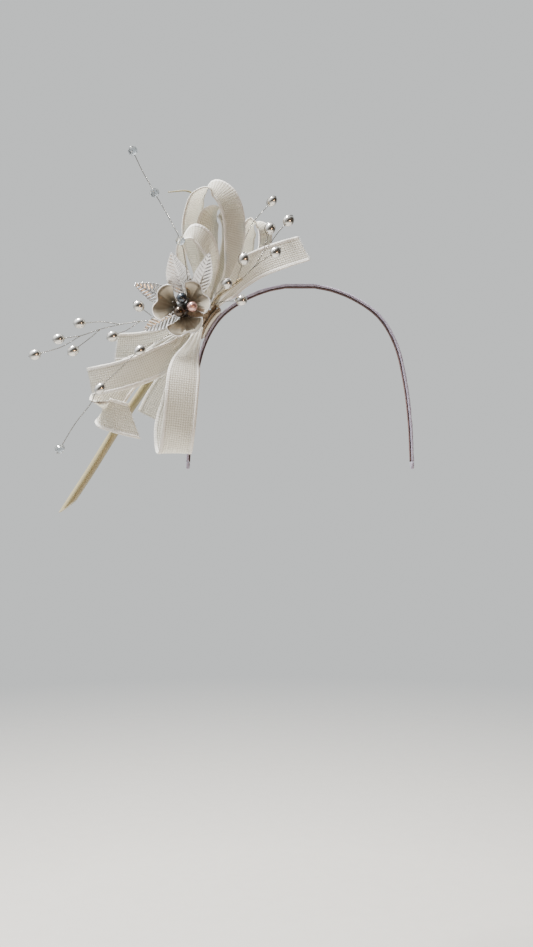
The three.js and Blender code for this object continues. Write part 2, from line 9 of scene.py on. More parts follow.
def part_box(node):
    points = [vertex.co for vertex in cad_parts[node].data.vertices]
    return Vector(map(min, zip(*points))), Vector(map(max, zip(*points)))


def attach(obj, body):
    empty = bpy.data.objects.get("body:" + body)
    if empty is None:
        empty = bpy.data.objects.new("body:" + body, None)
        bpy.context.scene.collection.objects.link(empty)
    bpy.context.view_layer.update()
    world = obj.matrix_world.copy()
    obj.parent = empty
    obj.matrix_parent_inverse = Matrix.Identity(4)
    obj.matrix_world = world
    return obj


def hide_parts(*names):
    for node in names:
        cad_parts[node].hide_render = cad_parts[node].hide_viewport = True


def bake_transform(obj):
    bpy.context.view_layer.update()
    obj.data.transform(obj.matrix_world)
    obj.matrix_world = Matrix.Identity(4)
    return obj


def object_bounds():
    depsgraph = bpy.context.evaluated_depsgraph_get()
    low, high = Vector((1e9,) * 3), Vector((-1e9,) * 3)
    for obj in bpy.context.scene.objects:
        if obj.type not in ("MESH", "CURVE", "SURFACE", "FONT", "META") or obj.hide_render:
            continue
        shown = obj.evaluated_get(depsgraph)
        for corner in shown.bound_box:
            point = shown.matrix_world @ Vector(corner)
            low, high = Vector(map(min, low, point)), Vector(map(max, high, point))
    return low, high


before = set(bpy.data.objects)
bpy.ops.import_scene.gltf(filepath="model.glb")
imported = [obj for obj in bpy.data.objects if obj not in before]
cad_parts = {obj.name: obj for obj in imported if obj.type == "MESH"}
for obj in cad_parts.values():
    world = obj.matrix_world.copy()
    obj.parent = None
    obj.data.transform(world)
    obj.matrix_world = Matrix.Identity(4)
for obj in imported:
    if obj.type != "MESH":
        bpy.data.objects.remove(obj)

bl_info = {
    "name": "Fascinator headpiece",
    "version": (1, 0, 0),
    "blender": (4, 5, 0),
    "location": "3D View > Sidebar > Fascinator",
    "description": "Makes a fascinator: satin band, straw-cloth loops, quill, flower and bead sprays",
    "category": "Add Mesh",
}

MM = 0.001
CAD_BOX = [list(corner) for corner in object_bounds()]
TRIM = "trim_and_left_band"

# ---- Routes, in millimetres: middle line x, y, z and the way the width runs there ----------------

STRIPS = {
    "loop_top_outer": dict(width=27, route=[
        (-80.5, -17, -17, 0.2, 0.95, 0.1), (-80.5, -17, 12, 0.45, 0.87, 0.21),
        (-85, -19, 37, 0.5, 0.82, 0.26), (-83.5, -19, 57, 0.47, 0.8, 0.36),
        (-79, -19.5, 69.5, 0.48, 0.74, 0.45), (-70, -20, 76, 0.52, 0.71, 0.46),
        (-60, -19, 71, 0.6, 0.71, 0.38), (-53.5, -17, 58, 0.62, 0.74, 0.27),
        (-52, -16, 38, 0.58, 0.79, 0.2), (-57, -15, 11, 0.3, 0.93, 0.2),
        (-70.5, -16.5, -18.5, 0.1, 0.98, 0.1)]),
    "loop_top_inner": dict(width=21, route=[
        (-77.5, -13, -16.5, 0.1, 0.98, 0.1), (-73.5, -14, 5, 0.5, 0.8, 0.2),
        (-73.5, -15, 30, 0.76, 0.6, 0.22), (-73, -15, 46, 0.76, 0.58, 0.28),
        (-70, -14.5, 55, 0.7, 0.62, 0.34), (-63, -13.5, 59.5, 0.64, 0.68, 0.34),
        (-57, -12.5, 52, 0.58, 0.76, 0.25), (-56.5, -12.5, 38, 0.5, 0.83, 0.2),
        (-61.5, -13, 17, 0.35, 0.9, 0.17), (-73.7, -12, -17, 0.1, 0.98, 0.1)]),
    "loop_top_small": dict(width=20, route=[
        (-74, -26, -18.5, 0.2, 0.9, 0.3), (-69, -31, 4, 0.3, 0.78, 0.54),
        (-68.5, -36, 20, 0.4, 0.66, 0.64), (-75, -42.5, 31, 0.42, 0.58, 0.7),
        (-83, -45, 35, 0.36, 0.62, 0.7), (-91.5, -43.3, 29, 0.25, 0.76, 0.6),
        (-92, -37.7, 14, 0.25, 0.85, 0.47), (-86, -30, -6, 0.25, 0.9, 0.3),
        (-79, -26.5, -17.5, 0.2, 0.9, 0.3)]),
    "loop_back": dict(width=22, route=[
        (-71, 3, -14, 0.2, 0.97, 0.1), (-56, 15, 6, 0.3, 0.93, 0.15),
        (-44, 26, 29, 0.42, 0.88, 0.18), (-41.5, 29, 49, 0.5, 0.83, 0.24),
        (-37, 31, 58, 0.54, 0.81, 0.24), (-29.5, 31, 55, 0.52, 0.83, 0.2),
        (-29, 28, 38, 0.42, 0.9, 0.12), (-40, 21, 16, 0.25, 0.95, 0.1),
        (-62, 6.5, -10, 0.2, 0.97, 0.05)]),
    "tail_right": dict(width=23, slant=0.05, route=[
        (-67.5, -8, -15.5, 0.6, 0.05, -0.8), (-60, 0.5, -0.5, 0.5, 0, -0.87),
        (-50, -1, 9, 0.4, 0, -0.92), (-33, -2, 19, 0.27, -0.1, -0.96),
        (-13, -5, 26, 0.24, -0.17, -0.96), (5, -7, 31, 0.2, -0.27, -0.95)]),
    "loop_left": dict(width=22, route=[
        (-84.5, -23.5, -30.5, 0.24, 0, -0.97), (-95, -33, -51, 0.12, 0, -1),
        (-115, -45, -66, 0.07, 0, -1), (-136, -50, -74, 0.14, 0, -0.99),
        (-152, -48, -77.5, 0.2, 0, -0.98), (-161, -42, -78.5, 0.2, 0, -0.98),
        (-153, -36, -76, 0.2, 0, -0.98), (-131, -33.5, -71.5, 0.15, 0, -0.99),
        (-110, -30.5, -61.5, 0.15, 0, -0.99), (-96, -27.5, -48, 0.19, 0, -0.98),
        (-84.5, -18, -29.5, 0.2, 0, -0.98)]),
    "loop_down": dict(width=25, route=[
        (-79, -24, -34.5, 0.62, 0.48, 0.62), (-83, -35, -48, 0.75, 0.38, 0.5),
        (-88, -46, -62, 0.87, 0.29, 0.4), (-89.5, -53, -77, 0.96, 0.17, 0.21),
        (-91, -56, -98, 1, 0.09, 0.01), (-93.5, -53, -120, 1, 0, 0),
        (-96.5, -43, -132, 1, 0, 0), (-100, -33, -129, 1, 0, 0),
        (-101.5, -26, -112, 1, -0.06, 0), (-95.5, -22, -90, 1, 0, 0.1),
        (-88, -24, -63, 0.95, 0.08, 0.31), (-84.5, -19.5, -48, 0.8, 0.2, 0.5),
        (-82.5, -12.5, -38.5, 0.71, 0.26, 0.65)]),
    "tail_lower_left": dict(width=25, slant=0.12, route=[
        (-85, -17, -33.5, 0.35, 0, -0.93), (-95, -17.5, -44.5, 0.3, 0, -0.95),
        (-113, -20.5, -61, 0.2, -0.06, -0.98), (-135, -22, -71.5, 0.15, -0.06, -0.99),
        (-146, -24, -85, 0.1, -0.1, -0.99), (-154, -28.5, -99.5, 0.03, -0.09, -0.99),
        (-143, -33.5, -104.5, 0.1, 0, -1), (-121, -34.5, -110, 0.3, 0, -0.95)]),
    "tail_inner": dict(width=21, route=[
        (-83, -7.5, -35, 0.7, 0, -0.7), (-91, -6, -52, 0.6, 0, -0.8),
        (-100, -4, -69, 0.56, 0, -0.83), (-112, -3, -87, 0.64, 0, -0.77),
        (-120, -3, -103, 0.61, 0, -0.79)]),
    "tail_upper_left": dict(width=22, slant=0.06, route=[
        (-84.5, -3.5, -27.5, 0.1, 0, -1), (-104, -3.5, -41, 0, 0, -1),
        (-126, -3.5, -46.5, -0.08, 0, -1), (-148, -5, -48, -0.26, 0, -0.97)]),
}
ROOT_WIDTH = 6      # a strip's width where it is bound
GATHER = 0.24       # share of a strip's length over which it opens to its full width

# Quill: x, y, z and the share of its full radius, from the cut barrel to the curled tip.
QUILL = [
    (-187, -18, -181, 0.25), (-181.5, -17.5, -172, 0.95), (-165, -15, -146, 1),
    (-144.5, -13, -112.5, 1), (-118, -13, -73, 0.98), (-101.5, -12.5, -45, 0.95),
    (-90, -11.5, -28, 0.9), (-84.5, -5, -8, 0.75), (-80, 1, 12, 0.6), (-78, 8, 40, 0.45),
    (-80, 14, 66, 0.32), (-89, 17, 81, 0.22), (-107, 17, 81, 0.14),
]
QUILL_SIDES = 24
QUILL_CUT = 16      # length of the slant cut at the bottom of the barrel, like a pen's

LEAVES = {
    "leaf_upper_left": dict(start=(-89.5, -35.5, -12), end=(-98, -56, 17.5), width=19,
                            face=(-0.1, -0.84, -0.54)),
    "leaf_upper_right": dict(start=(-81.3, -33, -12), end=(-70, -52, 18), width=14.5,
                             face=(0.2, -0.84, -0.5)),
    "leaf_left": dict(start=(-96, -34, -17), end=(-128, -36, -3), width=15, face=(0, -1, 0)),
    "leaf_lower_left": dict(start=(-95, -34, -25), end=(-121, -36, -38.5), width=14,
                            face=(0, -1, 0)),
}

FLOWER_CENTRE = (-90.7, -42, -23)
FLOWER_FACE = (-0.1, -0.98, 0.08)
PETALS = {"petal_left": 163, "petal_right": 33, "petal_bottom": 283}    # degrees, from +X to +Z
PETAL_LENGTH = 22.5
PETAL_START = 4         # from the flower's middle to a petal's foot
PETAL_SPREAD = 0.86     # radians from a petal's middle to its side
PETAL_CUP = 6.5         # how far a petal's rim stands up
PETAL_THICK = 0.4
RIM_RADIUS = 0.46
BACKING_RADIUS = 8.5
STAMENS = 11
CENTRE_BEADS = {
    "bead_grey": ((-90.7, -50.5, -15.8), "grey_pearl"),
    "bead_bronze": ((-92.6, -50.5, -26.2), "bronze_pearl"),
    "bead_rose": ((-83, -50.5, -22.4), "rose_pearl"),
}

# Sprays: each branch is a list of points, and a bead is (name, kind, place).
SPRAYS = {
    "wire_crystal": ("spray_crystal", [
        [(-85, -37, -15), (-86, -45, -6), (-87.5, -55, 8),
         ("crystal_low", "crystal", (-91, -62, 25)), (-102, -58, 47),
         ("crystal_mid", "crystal", (-111, -53, 63)), (-121, -50, 81),
         ("crystal_top", "crystal", (-128, -48, 96))]]),
    "wire_right": ("spray_right", [
        [(-70, -26, -18), (-63, -32, -11), (-50, -41, -3), (-39, -44, 6), (-31, -44, 17),
         (-27, -44, 28), ("pearl_right_1", "pearl", (-24, -44, 38))],
        [(-31, -44, 17), (-23, -44, 28), (-18, -44, 35),
         ("pearl_right_2", "pearl", (-10, -44, 44))],
        [(-39, -44, 6), (-31, -44, 13), ("pearl_right_3", "pearl", (-20, -44, 20))],
        [(-50, -41, -3), (-47.5, -45, 4), ("pearl_right_4", "pearl", (-44, -48, 14))],
        [(-70, -26, -18), (-66, -33, -11), ("pearl_right_5", "pearl", (-57, -45, -4))],
        [(-70, -26, -18), (-62, -32, -16), ("pearl_right_6", "pearl", (-46, -40, -16))]]),
    "wire_left": ("spray_left", [
        [(-85.5, -26, -25.5), (-100, -27, -27), (-112, -31, -30), (-124, -35.5, -31.5),
         (-138, -44, -35), (-153, -44, -38.5), (-168, -44, -43.5),
         ("pearl_left_1", "pearl", (-185, -44, -46))],
        [(-138, -44, -35), (-152, -44.5, -33), ("pearl_left_2", "pearl", (-169, -44, -34))],
        [(-168, -44, -43.5), (-183, -46, -52.5), ("pearl_left_3", "pearl", (-203, -44, -58))],
        [(-153, -44, -38.5), (-162, -44, -46), ("pearl_left_4", "pearl", (-174, -44, -55))],
        [(-124, -35.5, -31.5), (-133, -43, -39), ("pearl_left_5", "pearl", (-144, -44, -44))],
        [(-112, -31, -30), (-117, -38, -26), ("pearl_left_6", "pearl", (-124, -44, -21))]]),
    "wire_lower": ("spray_lower", [
        [(-87, -33, -26.5), (-94, -35, -34.5), (-101.5, -39, -42), (-110.5, -49, -49),
         ("pearl_lower_1", "drop", (-121.5, -57, -56)), (-136, -60, -70),
         ("pearl_lower_2", "drop", (-151, -61, -85)), (-158, -60, -96), (-170, -58, -111),
         ("crystal_end", "crystal", (-182, -56, -130))]]),
    "wire_back": (TRIM, [
        [(-65, -1, -10), (-57, 3.5, 9), (-48, 4, 31), (-38, 1, 52),
         ("pearl_back", "drop", (-22.5, -10, 67))]]),
}
BEAD_HOLE = 0.55    # radius of the hole through a bead
BEAD_STRETCH = {"pearl": 1.12, "drop": 1.3, "crystal": 1.0}

BAND_ROUTE = [(12, 0), (26, -3), (44, -10.5), (62.4, -24), (75, -45), (82.5, -75),
              (86.5, -108), (88, -139)]
SEAT_ON_BAND = 0.375


# ---- Colour and node helpers ------------------------------------------------------------------------

def linear(code):
    """An sRGB hex colour as linear red, green, blue and alpha."""
    parts = [int(code[i:i + 2], 16) / 255 for i in (1, 3, 5)]
    return [c / 12.92 if c <= 0.04045 else ((c + 0.055) / 1.055) ** 2.4 for c in parts] + [1.0]


def add_node(tree, kind, settings=None, **sockets):
    """Adds a node. A socket is named, or called i0, i1 and so on by its place.
    Another node's output is linked to it, and anything else is set on it."""
    made = tree.nodes.new(kind)
    for key, value in (settings or {}).items():
        setattr(made, key, value)
    for key, value in sockets.items():
        socket = made.inputs[int(key[1:])] if key[0] == "i" and key[1:].isdigit() \
            else made.inputs[key.replace("_", " ")]
        if isinstance(value, bpy.types.NodeSocket):
            tree.links.new(value, socket)
        else:
            socket.default_value = value
    return made


def new_material(name, **shader):
    """A material with one Principled shader, its constant sockets set."""
    material = bpy.data.materials.new(name)
    material.use_nodes = True
    tree = material.node_tree
    bsdf = tree.nodes["Principled BSDF"]
    for key, value in shader.items():
        bsdf.inputs[key.replace("_", " ")].default_value = value
    return material, tree, bsdf


def maths(tree, operation, a, b=0.0, clamp=False):
    """One sum on two values; clamp keeps the answer between 0 and 1."""
    return add_node(tree, "ShaderNodeMath", dict(operation=operation, use_clamp=clamp),
                    i0=a, i1=b).outputs[0]


def mix_colour(tree, factor, a, b):
    """Colour a where the factor is 0 and colour b where it is 1."""
    made = add_node(tree, "ShaderNodeMix", dict(data_type="RGBA"))
    for index, value in ((0, factor), (6, a), (7, b)):
        if isinstance(value, bpy.types.NodeSocket):
            tree.links.new(value, made.inputs[index])
        else:
            made.inputs[index].default_value = value
    return made.outputs[2]


def noise_value(tree, vector, scale, detail=3.0, rough=0.5):
    """Soft noise from 0 to 1; its patches are about 1 / scale wide."""
    return add_node(tree, "ShaderNodeTexNoise", None, Vector=vector, Scale=scale,
                    Detail=detail, Roughness=rough).outputs["Fac"]


def stretched(tree, vector, scale):
    """A place scaled on each axis, so that noise on it is drawn out along the smallest."""
    return add_node(tree, "ShaderNodeMapping", None, Vector=vector, Scale=scale).outputs[0]


def bump(tree, bsdf, height, distance, strength=1.0):
    """Shades the surface as if height 1 stood out by the distance, in metres."""
    made = add_node(tree, "ShaderNodeBump", None, Height=height, Distance=distance,
                    Strength=strength)
    tree.links.new(made.outputs[0], bsdf.inputs["Normal"])


def cloth_uv(tree):
    """Place on the cloth in millimetres: x across the strip, y along it."""
    return add_node(tree, "ShaderNodeUVMap", dict(uv_map="Cloth")).outputs[0]


def own_place(tree):
    """Place in the object's own frame, in metres."""
    return add_node(tree, "ShaderNodeTexCoord").outputs["Object"]


# ---- Materials --------------------------------------------------------------------------------------

def weave(tree, place, pitch_mm):
    """A plain weave: its height from 0 to 1, and how open the corner between threads is."""
    wander = add_node(tree, "ShaderNodeTexNoise", None, Vector=place, Scale=0.12, Detail=2.0)
    shift = add_node(tree, "ShaderNodeVectorMath", dict(operation="SCALE"),
                     i0=wander.outputs["Color"])
    shift.inputs["Scale"].default_value = 1.1
    moved = add_node(tree, "ShaderNodeVectorMath", dict(operation="ADD"), i0=place,
                     i1=shift.outputs[0]).outputs[0]
    apart = add_node(tree, "ShaderNodeSeparateXYZ", None, Vector=moved)
    waves = []
    for axis in (0, 1):
        turn = maths(tree, "MULTIPLY", apart.outputs[axis], math.pi / pitch_mm)
        waves.append(maths(tree, "SINE", turn))
    over = maths(tree, "MULTIPLY", waves[0], waves[1])
    rounds = [maths(tree, "POWER", maths(tree, "ABSOLUTE", w), 0.6) for w in waves]
    lift = maths(tree, "MULTIPLY_ADD", over, 0.5)
    lift.node.inputs[2].default_value = 0.5
    warp = maths(tree, "MULTIPLY", rounds[0], lift)
    weft = maths(tree, "MULTIPLY", rounds[1], maths(tree, "SUBTRACT", 1.0, lift))
    height = maths(tree, "ADD", warp, weft)
    gaps = [maths(tree, "SUBTRACT", 1.0, r) for r in rounds]
    return height, maths(tree, "MULTIPLY", gaps[0], gaps[1])


def straw_cloth(look):
    """Sinamay: stiffened abaca straw cloth in a plain weave.
    Dry, half-matt threads with slubs, light coming through, pinholes between the threads and painted shade
    down in the weave."""
    material, tree, bsdf = new_material("straw_cloth_sinamay", Roughness=0.6, IOR=1.5,
                                        Sheen_Weight=0.2, Sheen_Roughness=0.4)
    place = cloth_uv(tree)
    # The real threads lie about 0.8 mm apart; they are drawn 1.8 mm apart so that they show.
    height, opening = weave(tree, place, look.thread_pitch / MM)
    slub_along = noise_value(tree, stretched(tree, place, (1.6, 0.05, 1)), 1.0, 2.0)
    slub_across = noise_value(tree, stretched(tree, place, (0.05, 1.6, 1)), 1.0, 2.0)
    slub = maths(tree, "ADD", slub_along, slub_across)
    blotch = noise_value(tree, place, 0.05, 3.0)
    pale, deep = look.straw_colour, look.straw_painted_shade
    shade = maths(tree, "MULTIPLY", maths(tree, "SUBTRACT", 1.25, slub), 0.9, True)
    colour = mix_colour(tree, shade, pale, linear("#F1EDE3"))
    colour = mix_colour(tree, maths(tree, "MULTIPLY", blotch, 0.2), colour, linear("#F4EFE2"))
    # Painted shade: the low places of the weave are mixed towards the straw's shade colour, as if shade fell
    # between the threads.
    low = maths(tree, "SUBTRACT", 0.92, height, True)
    colour = mix_colour(tree, maths(tree, "MULTIPLY", low, 1.6, True), colour, deep)
    tree.links.new(colour, bsdf.inputs["Base Color"])
    relief = maths(tree, "ADD", height, maths(tree, "MULTIPLY", slub, 0.5))
    bump(tree, bsdf, relief, 0.6 * MM)
    through = add_node(tree, "ShaderNodeBsdfTranslucent", None, Color=linear("#FDFBF1"))
    lit = add_node(tree, "ShaderNodeMixShader", None, Fac=0.46)
    tree.links.new(bsdf.outputs[0], lit.inputs[1])
    tree.links.new(through.outputs[0], lit.inputs[2])
    pinhole = maths(tree, "MULTIPLY", maths(tree, "SUBTRACT", opening, 0.3, True), 2.2, True)
    clear = add_node(tree, "ShaderNodeBsdfTransparent")
    both = add_node(tree, "ShaderNodeMixShader", None, Fac=pinhole)
    tree.links.new(lit.outputs[0], both.inputs[1])
    tree.links.new(clear.outputs[0], both.inputs[2])
    tree.links.new(both.outputs[0], tree.nodes["Material Output"].inputs["Surface"])
    return material


def hem_cloth(look):
    """The same cloth where the cut edge is turned in: denser, paler, with no pinholes."""
    material, tree, bsdf = new_material("straw_cloth_turned_edge", Roughness=0.55, IOR=1.5,
                                        Sheen_Weight=0.2, Sheen_Roughness=0.4)
    place = cloth_uv(tree)
    height, _ = weave(tree, place, look.thread_pitch / MM)
    grain = noise_value(tree, stretched(tree, place, (2.0, 0.1, 1)), 1.0, 2.0)
    colour = mix_colour(tree, grain, linear("#FDFCF8"), linear("#EFEADE"))
    tree.links.new(colour, bsdf.inputs["Base Color"])
    bump(tree, bsdf, height, 0.45 * MM, 0.8)
    return material


def straw_in_painted_shade():
    """Taupe-brown straw cloth, steam-pressed over the base: coarse dry fibres, darker and paler, the brown
    partly painted shade from under the flower.
    """
    material, tree, bsdf = new_material("straw_cloth_painted_shade", Roughness=0.75, IOR=1.5,
                                        Sheen_Weight=0.25, Sheen_Roughness=0.5)
    # Fibres about 0.6 mm wide and 7 mm long, in two directions.
    one = noise_value(tree, stretched(tree, own_place(tree), (1600, 1600, 150)), 1.0, 2.0)
    two = noise_value(tree, stretched(tree, own_place(tree), (150, 1600, 1600)), 1.0, 2.0)
    fibre = maths(tree, "MULTIPLY", maths(tree, "ADD", one, two), 0.5)
    # Painted shade: these taupe-brown fibre colours stand in partly for the shade that falls under the
    # flower and the loops.
    tree.links.new(mix_colour(tree, fibre, linear("#5E4F40"), linear("#B5A48C")),
                   bsdf.inputs["Base Color"])
    bump(tree, bsdf, fibre, 0.6 * MM)
    return material


def satin_ribbon(look):
    """Polyester satin ribbon, woven with long floats and wrapped tight round the band.
    The floats give a soft sheen with fine cross lines and small puckers at the edges; paler patches on the
    folds are painted sheen."""
    material, tree, bsdf = new_material("satin_ribbon", Roughness=0.38, IOR=1.5,
                                        Sheen_Weight=0.35, Sheen_Roughness=0.3)
    place = cloth_uv(tree)
    # Satin threads are about 0.1 mm apart; the lines are drawn 0.3 mm apart so that they show.
    lines = add_node(tree, "ShaderNodeTexWave", dict(bands_direction="Y"), Vector=place,
                     Scale=1.0, Distortion=1.2, Detail=1.0)
    fold = noise_value(tree, stretched(tree, place, (0.25, 0.5, 1)), 1.0, 2.0)
    # Painted sheen: the fold noise mixes the lilac grey towards the pale satin colour, as light caught on
    # the folds.
    colour = mix_colour(tree, fold, linear("#8E86A0"), look.satin_colour)
    tree.links.new(colour, bsdf.inputs["Base Color"])
    relief = maths(tree, "ADD", maths(tree, "MULTIPLY", lines.outputs["Fac"], 0.25), fold)
    bump(tree, bsdf, relief, 0.25 * MM)
    return material


def velvet_lining():
    """Cotton velvet ribbon, cut pile: nearly black, with a brown rim of sheen."""
    material, tree, bsdf = new_material("velvet_lining", Roughness=0.95, IOR=1.45,
                                        Sheen_Weight=0.8, Sheen_Roughness=0.35)
    bsdf.inputs["Sheen Tint"].default_value = linear("#8A6A66")
    # Pile tufts, about 0.4 mm apart.
    pile = noise_value(tree, own_place(tree), 2500.0, 2.0)
    tree.links.new(mix_colour(tree, pile, linear("#241819"), linear("#4A3433")),
                   bsdf.inputs["Base Color"])
    bump(tree, bsdf, pile, 0.3 * MM, 0.7)
    return material


def wool_felt():
    """Pressed wool felt: matt and fuzzy, with short matted fibres."""
    material, tree, bsdf = new_material("wool_felt", Roughness=0.95, IOR=1.45,
                                        Sheen_Weight=0.4, Sheen_Roughness=0.6)
    # Tufts of matted fibre, about 0.7 mm.
    fibre = noise_value(tree, own_place(tree), 1500.0, 4.0, 0.7)
    tree.links.new(mix_colour(tree, fibre, linear("#D8D1C2"), linear("#F1ECE0")),
                   bsdf.inputs["Base Color"])
    bump(tree, bsdf, fibre, 0.4 * MM, 0.8)
    return material


def spring_steel():
    """Cold-rolled spring steel strip: grey metal, with fine lines from the rolls."""
    material, tree, bsdf = new_material("spring_steel", Metallic=1.0, Roughness=0.35)
    # Rolling lines 0.25 mm wide and some 5 mm long.
    lines = noise_value(tree, stretched(tree, own_place(tree), (200, 4000, 200)), 1.0, 2.0)
    tree.links.new(mix_colour(tree, lines, linear("#8D9094"), linear("#B4B7BA")),
                   bsdf.inputs["Base Color"])
    bump(tree, bsdf, lines, 0.02 * MM)
    return material


def waxed_thread():
    """Waxed polyester thread: taupe, half gloss, twisted from fine plies."""
    material, tree, bsdf = new_material("waxed_thread", Roughness=0.5, IOR=1.5,
                                        Sheen_Weight=0.2)
    # Ply lines about 0.3 mm apart.
    ply = noise_value(tree, own_place(tree), 3300.0, 2.0)
    tree.links.new(mix_colour(tree, ply, linear("#7B6A58"), linear("#B5A691")),
                   bsdf.inputs["Base Color"])
    bump(tree, bsdf, ply, 0.1 * MM, 0.5)
    return material


def quill_keratin(look):
    """Stripped feather shaft, natural keratin: horn-like, half gloss, with lengthwise grain.
    The barrel is clear olive-beige and the upper shaft paler."""
    material, tree, bsdf = new_material("quill_keratin", Roughness=0.3, IOR=1.54,
                                        Coat_Weight=0.3, Coat_Roughness=0.18)
    place = cloth_uv(tree)
    # Grain lines about 1 mm wide and 80 mm long, and stained places 17 mm wide.
    grain = noise_value(tree, stretched(tree, place, (0.9, 0.012, 1)), 1.0, 2.0)
    patch = noise_value(tree, stretched(tree, place, (0.06, 0.02, 1)), 1.0, 2.0)
    colour = mix_colour(tree, grain, linear("#8A7E5A"), look.quill_colour)
    colour = mix_colour(tree, maths(tree, "MULTIPLY", patch, 0.35), colour, linear("#786C48"))
    tree.links.new(colour, bsdf.inputs["Base Color"])
    bump(tree, bsdf, grain, 0.1 * MM, 0.4)
    return material


def pressed_leaf():
    """Pearlised silver foil on stiffened cloth, pressed between hot dies.
    A soft metal glint with a white bloom and a fine grain."""
    material, tree, bsdf = new_material("pressed_silver_leaf", Metallic=0.75, Roughness=0.25,
                                        Coat_Weight=0.3, Coat_Roughness=0.25)
    # Foil grain, about 0.3 mm, and cloudy places of about 6 mm.
    grain = noise_value(tree, own_place(tree), 3200.0, 3.0)
    cloud = noise_value(tree, own_place(tree), 180.0, 2.0)
    colour = mix_colour(tree, grain, linear("#E4E6EA"), linear("#FFFFFF"))
    colour = mix_colour(tree, maths(tree, "MULTIPLY", cloud, 0.5), colour, linear("#E8E9EC"))
    tree.links.new(colour, bsdf.inputs["Base Color"])
    bump(tree, bsdf, grain, 0.06 * MM, 0.5)
    return material


def petal_film(look):
    """Smoke-tinted acetate petal, dipped and pearlised: glossy, with a soft metal glint.
    Painted shade darkens the middle; champagne outwards, with fine ribs that run to the rim."""
    material, tree, bsdf = new_material("smoked_petal_film", Metallic=0.55, Roughness=0.13,
                                        Coat_Weight=1.0, Coat_Roughness=0.04)
    place = cloth_uv(tree)
    apart = add_node(tree, "ShaderNodeSeparateXYZ", None, Vector=place)
    reach = maths(tree, "DIVIDE", apart.outputs[1], PETAL_LENGTH)
    # Ribs some 2 mm apart that run out to the rim.
    ribs = noise_value(tree, stretched(tree, place, (0.5, 0.05, 1)), 1.0, 1.0)
    colour = mix_colour(tree, ribs, linear("#786C58"), look.petal_colour)
    outer = maths(tree, "MULTIPLY", maths(tree, "SUBTRACT", reach, 0.55, True), 1.1, True)
    colour = mix_colour(tree, outer, colour, linear("#DDD4C2"))
    # Painted shade: the petal is darkened towards its foot, where shade falls in the flower's middle.
    middle = maths(tree, "SUBTRACT", 1.15, maths(tree, "MULTIPLY", reach, 2.4), True)
    colour = mix_colour(tree, middle, colour, linear("#33291F"))
    tree.links.new(colour, bsdf.inputs["Base Color"])
    bump(tree, bsdf, ribs, 0.4 * MM, 0.5)
    return material


def petal_rim():
    """The petal's rolled wire edge, dipped in pearl white: a smooth bright line."""
    material, tree, bsdf = new_material("pearl_dipped_rim", Roughness=0.2, IOR=1.5,
                                        Coat_Weight=0.8, Coat_Roughness=0.05)
    # Thick and thin places in the dip, about 2.5 mm.
    cloud = noise_value(tree, own_place(tree), 400.0, 2.0)
    tree.links.new(mix_colour(tree, cloud, linear("#E9E6E0"), linear("#FFFFFF")),
                   bsdf.inputs["Base Color"])
    return material


def lacquered_calyx():
    """Dark lacquered metal calyx and stamens: nearly black with small bright points."""
    material, tree, bsdf = new_material("lacquered_calyx", Roughness=0.3, IOR=1.5,
                                        Coat_Weight=0.6, Coat_Roughness=0.1)
    # Grains in the lacquer, about 1 mm.
    speck = noise_value(tree, own_place(tree), 900.0, 2.0)
    tree.links.new(mix_colour(tree, speck, linear("#17120F"), linear("#43382F")),
                   bsdf.inputs["Base Color"])
    bump(tree, bsdf, speck, 0.1 * MM, 0.5)
    return material


def pearl_coat(name, deep, pale, metallic, rough):
    """Moulded bead with a pearl lacquer of mica flakes.
    A soft wide glint under a thin clear coat, with faint cloudy banding."""
    material, tree, bsdf = new_material(name, Metallic=metallic, Roughness=rough,
                                        Coat_Weight=1.0, Coat_Roughness=0.04)
    # Clouds in the lacquer, about 3 mm, and mica flakes of 0.1 mm drawn at 0.25 mm.
    cloud = noise_value(tree, own_place(tree), 330.0, 3.0)
    flake = noise_value(tree, own_place(tree), 4000.0, 1.0)
    tree.links.new(mix_colour(tree, cloud, linear(deep), pale), bsdf.inputs["Base Color"])
    bump(tree, bsdf, flake, 0.01 * MM, 0.4)
    return material


def cut_crystal():
    """Cut lead-free crystal, polished facets: clear, with bright edges and dark lines."""
    material, tree, bsdf = new_material("cut_crystal", Transmission_Weight=1.0, Roughness=0.0,
                                        IOR=1.54, Specular_IOR_Level=0.6)
    # Slight differences of tint, about 2 mm.
    haze = noise_value(tree, own_place(tree), 500.0, 2.0)
    tree.links.new(mix_colour(tree, haze, linear("#F6FAFC"), linear("#E6EEF2")),
                   bsdf.inputs["Base Color"])
    return material


def plated_wire(name, deep, pale):
    """Soft craft wire, drawn and plated: bright metal, a little dulled by fine handling marks."""
    material, tree, bsdf = new_material(name, Metallic=1.0, Roughness=0.25)
    # Handling marks about 0.4 mm long.
    scratch = noise_value(tree, own_place(tree), 2500.0, 2.0)
    tree.links.new(mix_colour(tree, scratch, linear(deep), linear(pale)),
                   bsdf.inputs["Base Color"])
    bump(tree, bsdf, scratch, 0.02 * MM)
    return material


def studio_floor():
    """Painted studio floor, pale and matt, which fades out into the studio's light."""
    material, tree, bsdf = new_material("painted_floor", Roughness=0.9)
    # Roller marks in the paint, about 17 mm.
    grain = noise_value(tree, own_place(tree), 60.0, 4.0)
    tree.links.new(mix_colour(tree, grain, linear("#CFCBC4"), linear("#D6D2CB")),
                   bsdf.inputs["Base Color"])
    bump(tree, bsdf, grain, 0.2 * MM, 0.3)
    flat = add_node(tree, "ShaderNodeVectorMath", dict(operation="MULTIPLY"), i0=own_place(tree),
                    i1=(1.0, 1.0, 0.0)).outputs[0]
    reach = add_node(tree, "ShaderNodeVectorMath", dict(operation="LENGTH"), i0=flat).outputs["Value"]
    solid = maths(tree, "MULTIPLY", maths(tree, "SUBTRACT", 1.5, reach), 0.9, True)
    tree.links.new(solid, bsdf.inputs["Alpha"])
    return material


MATERIALS = {}


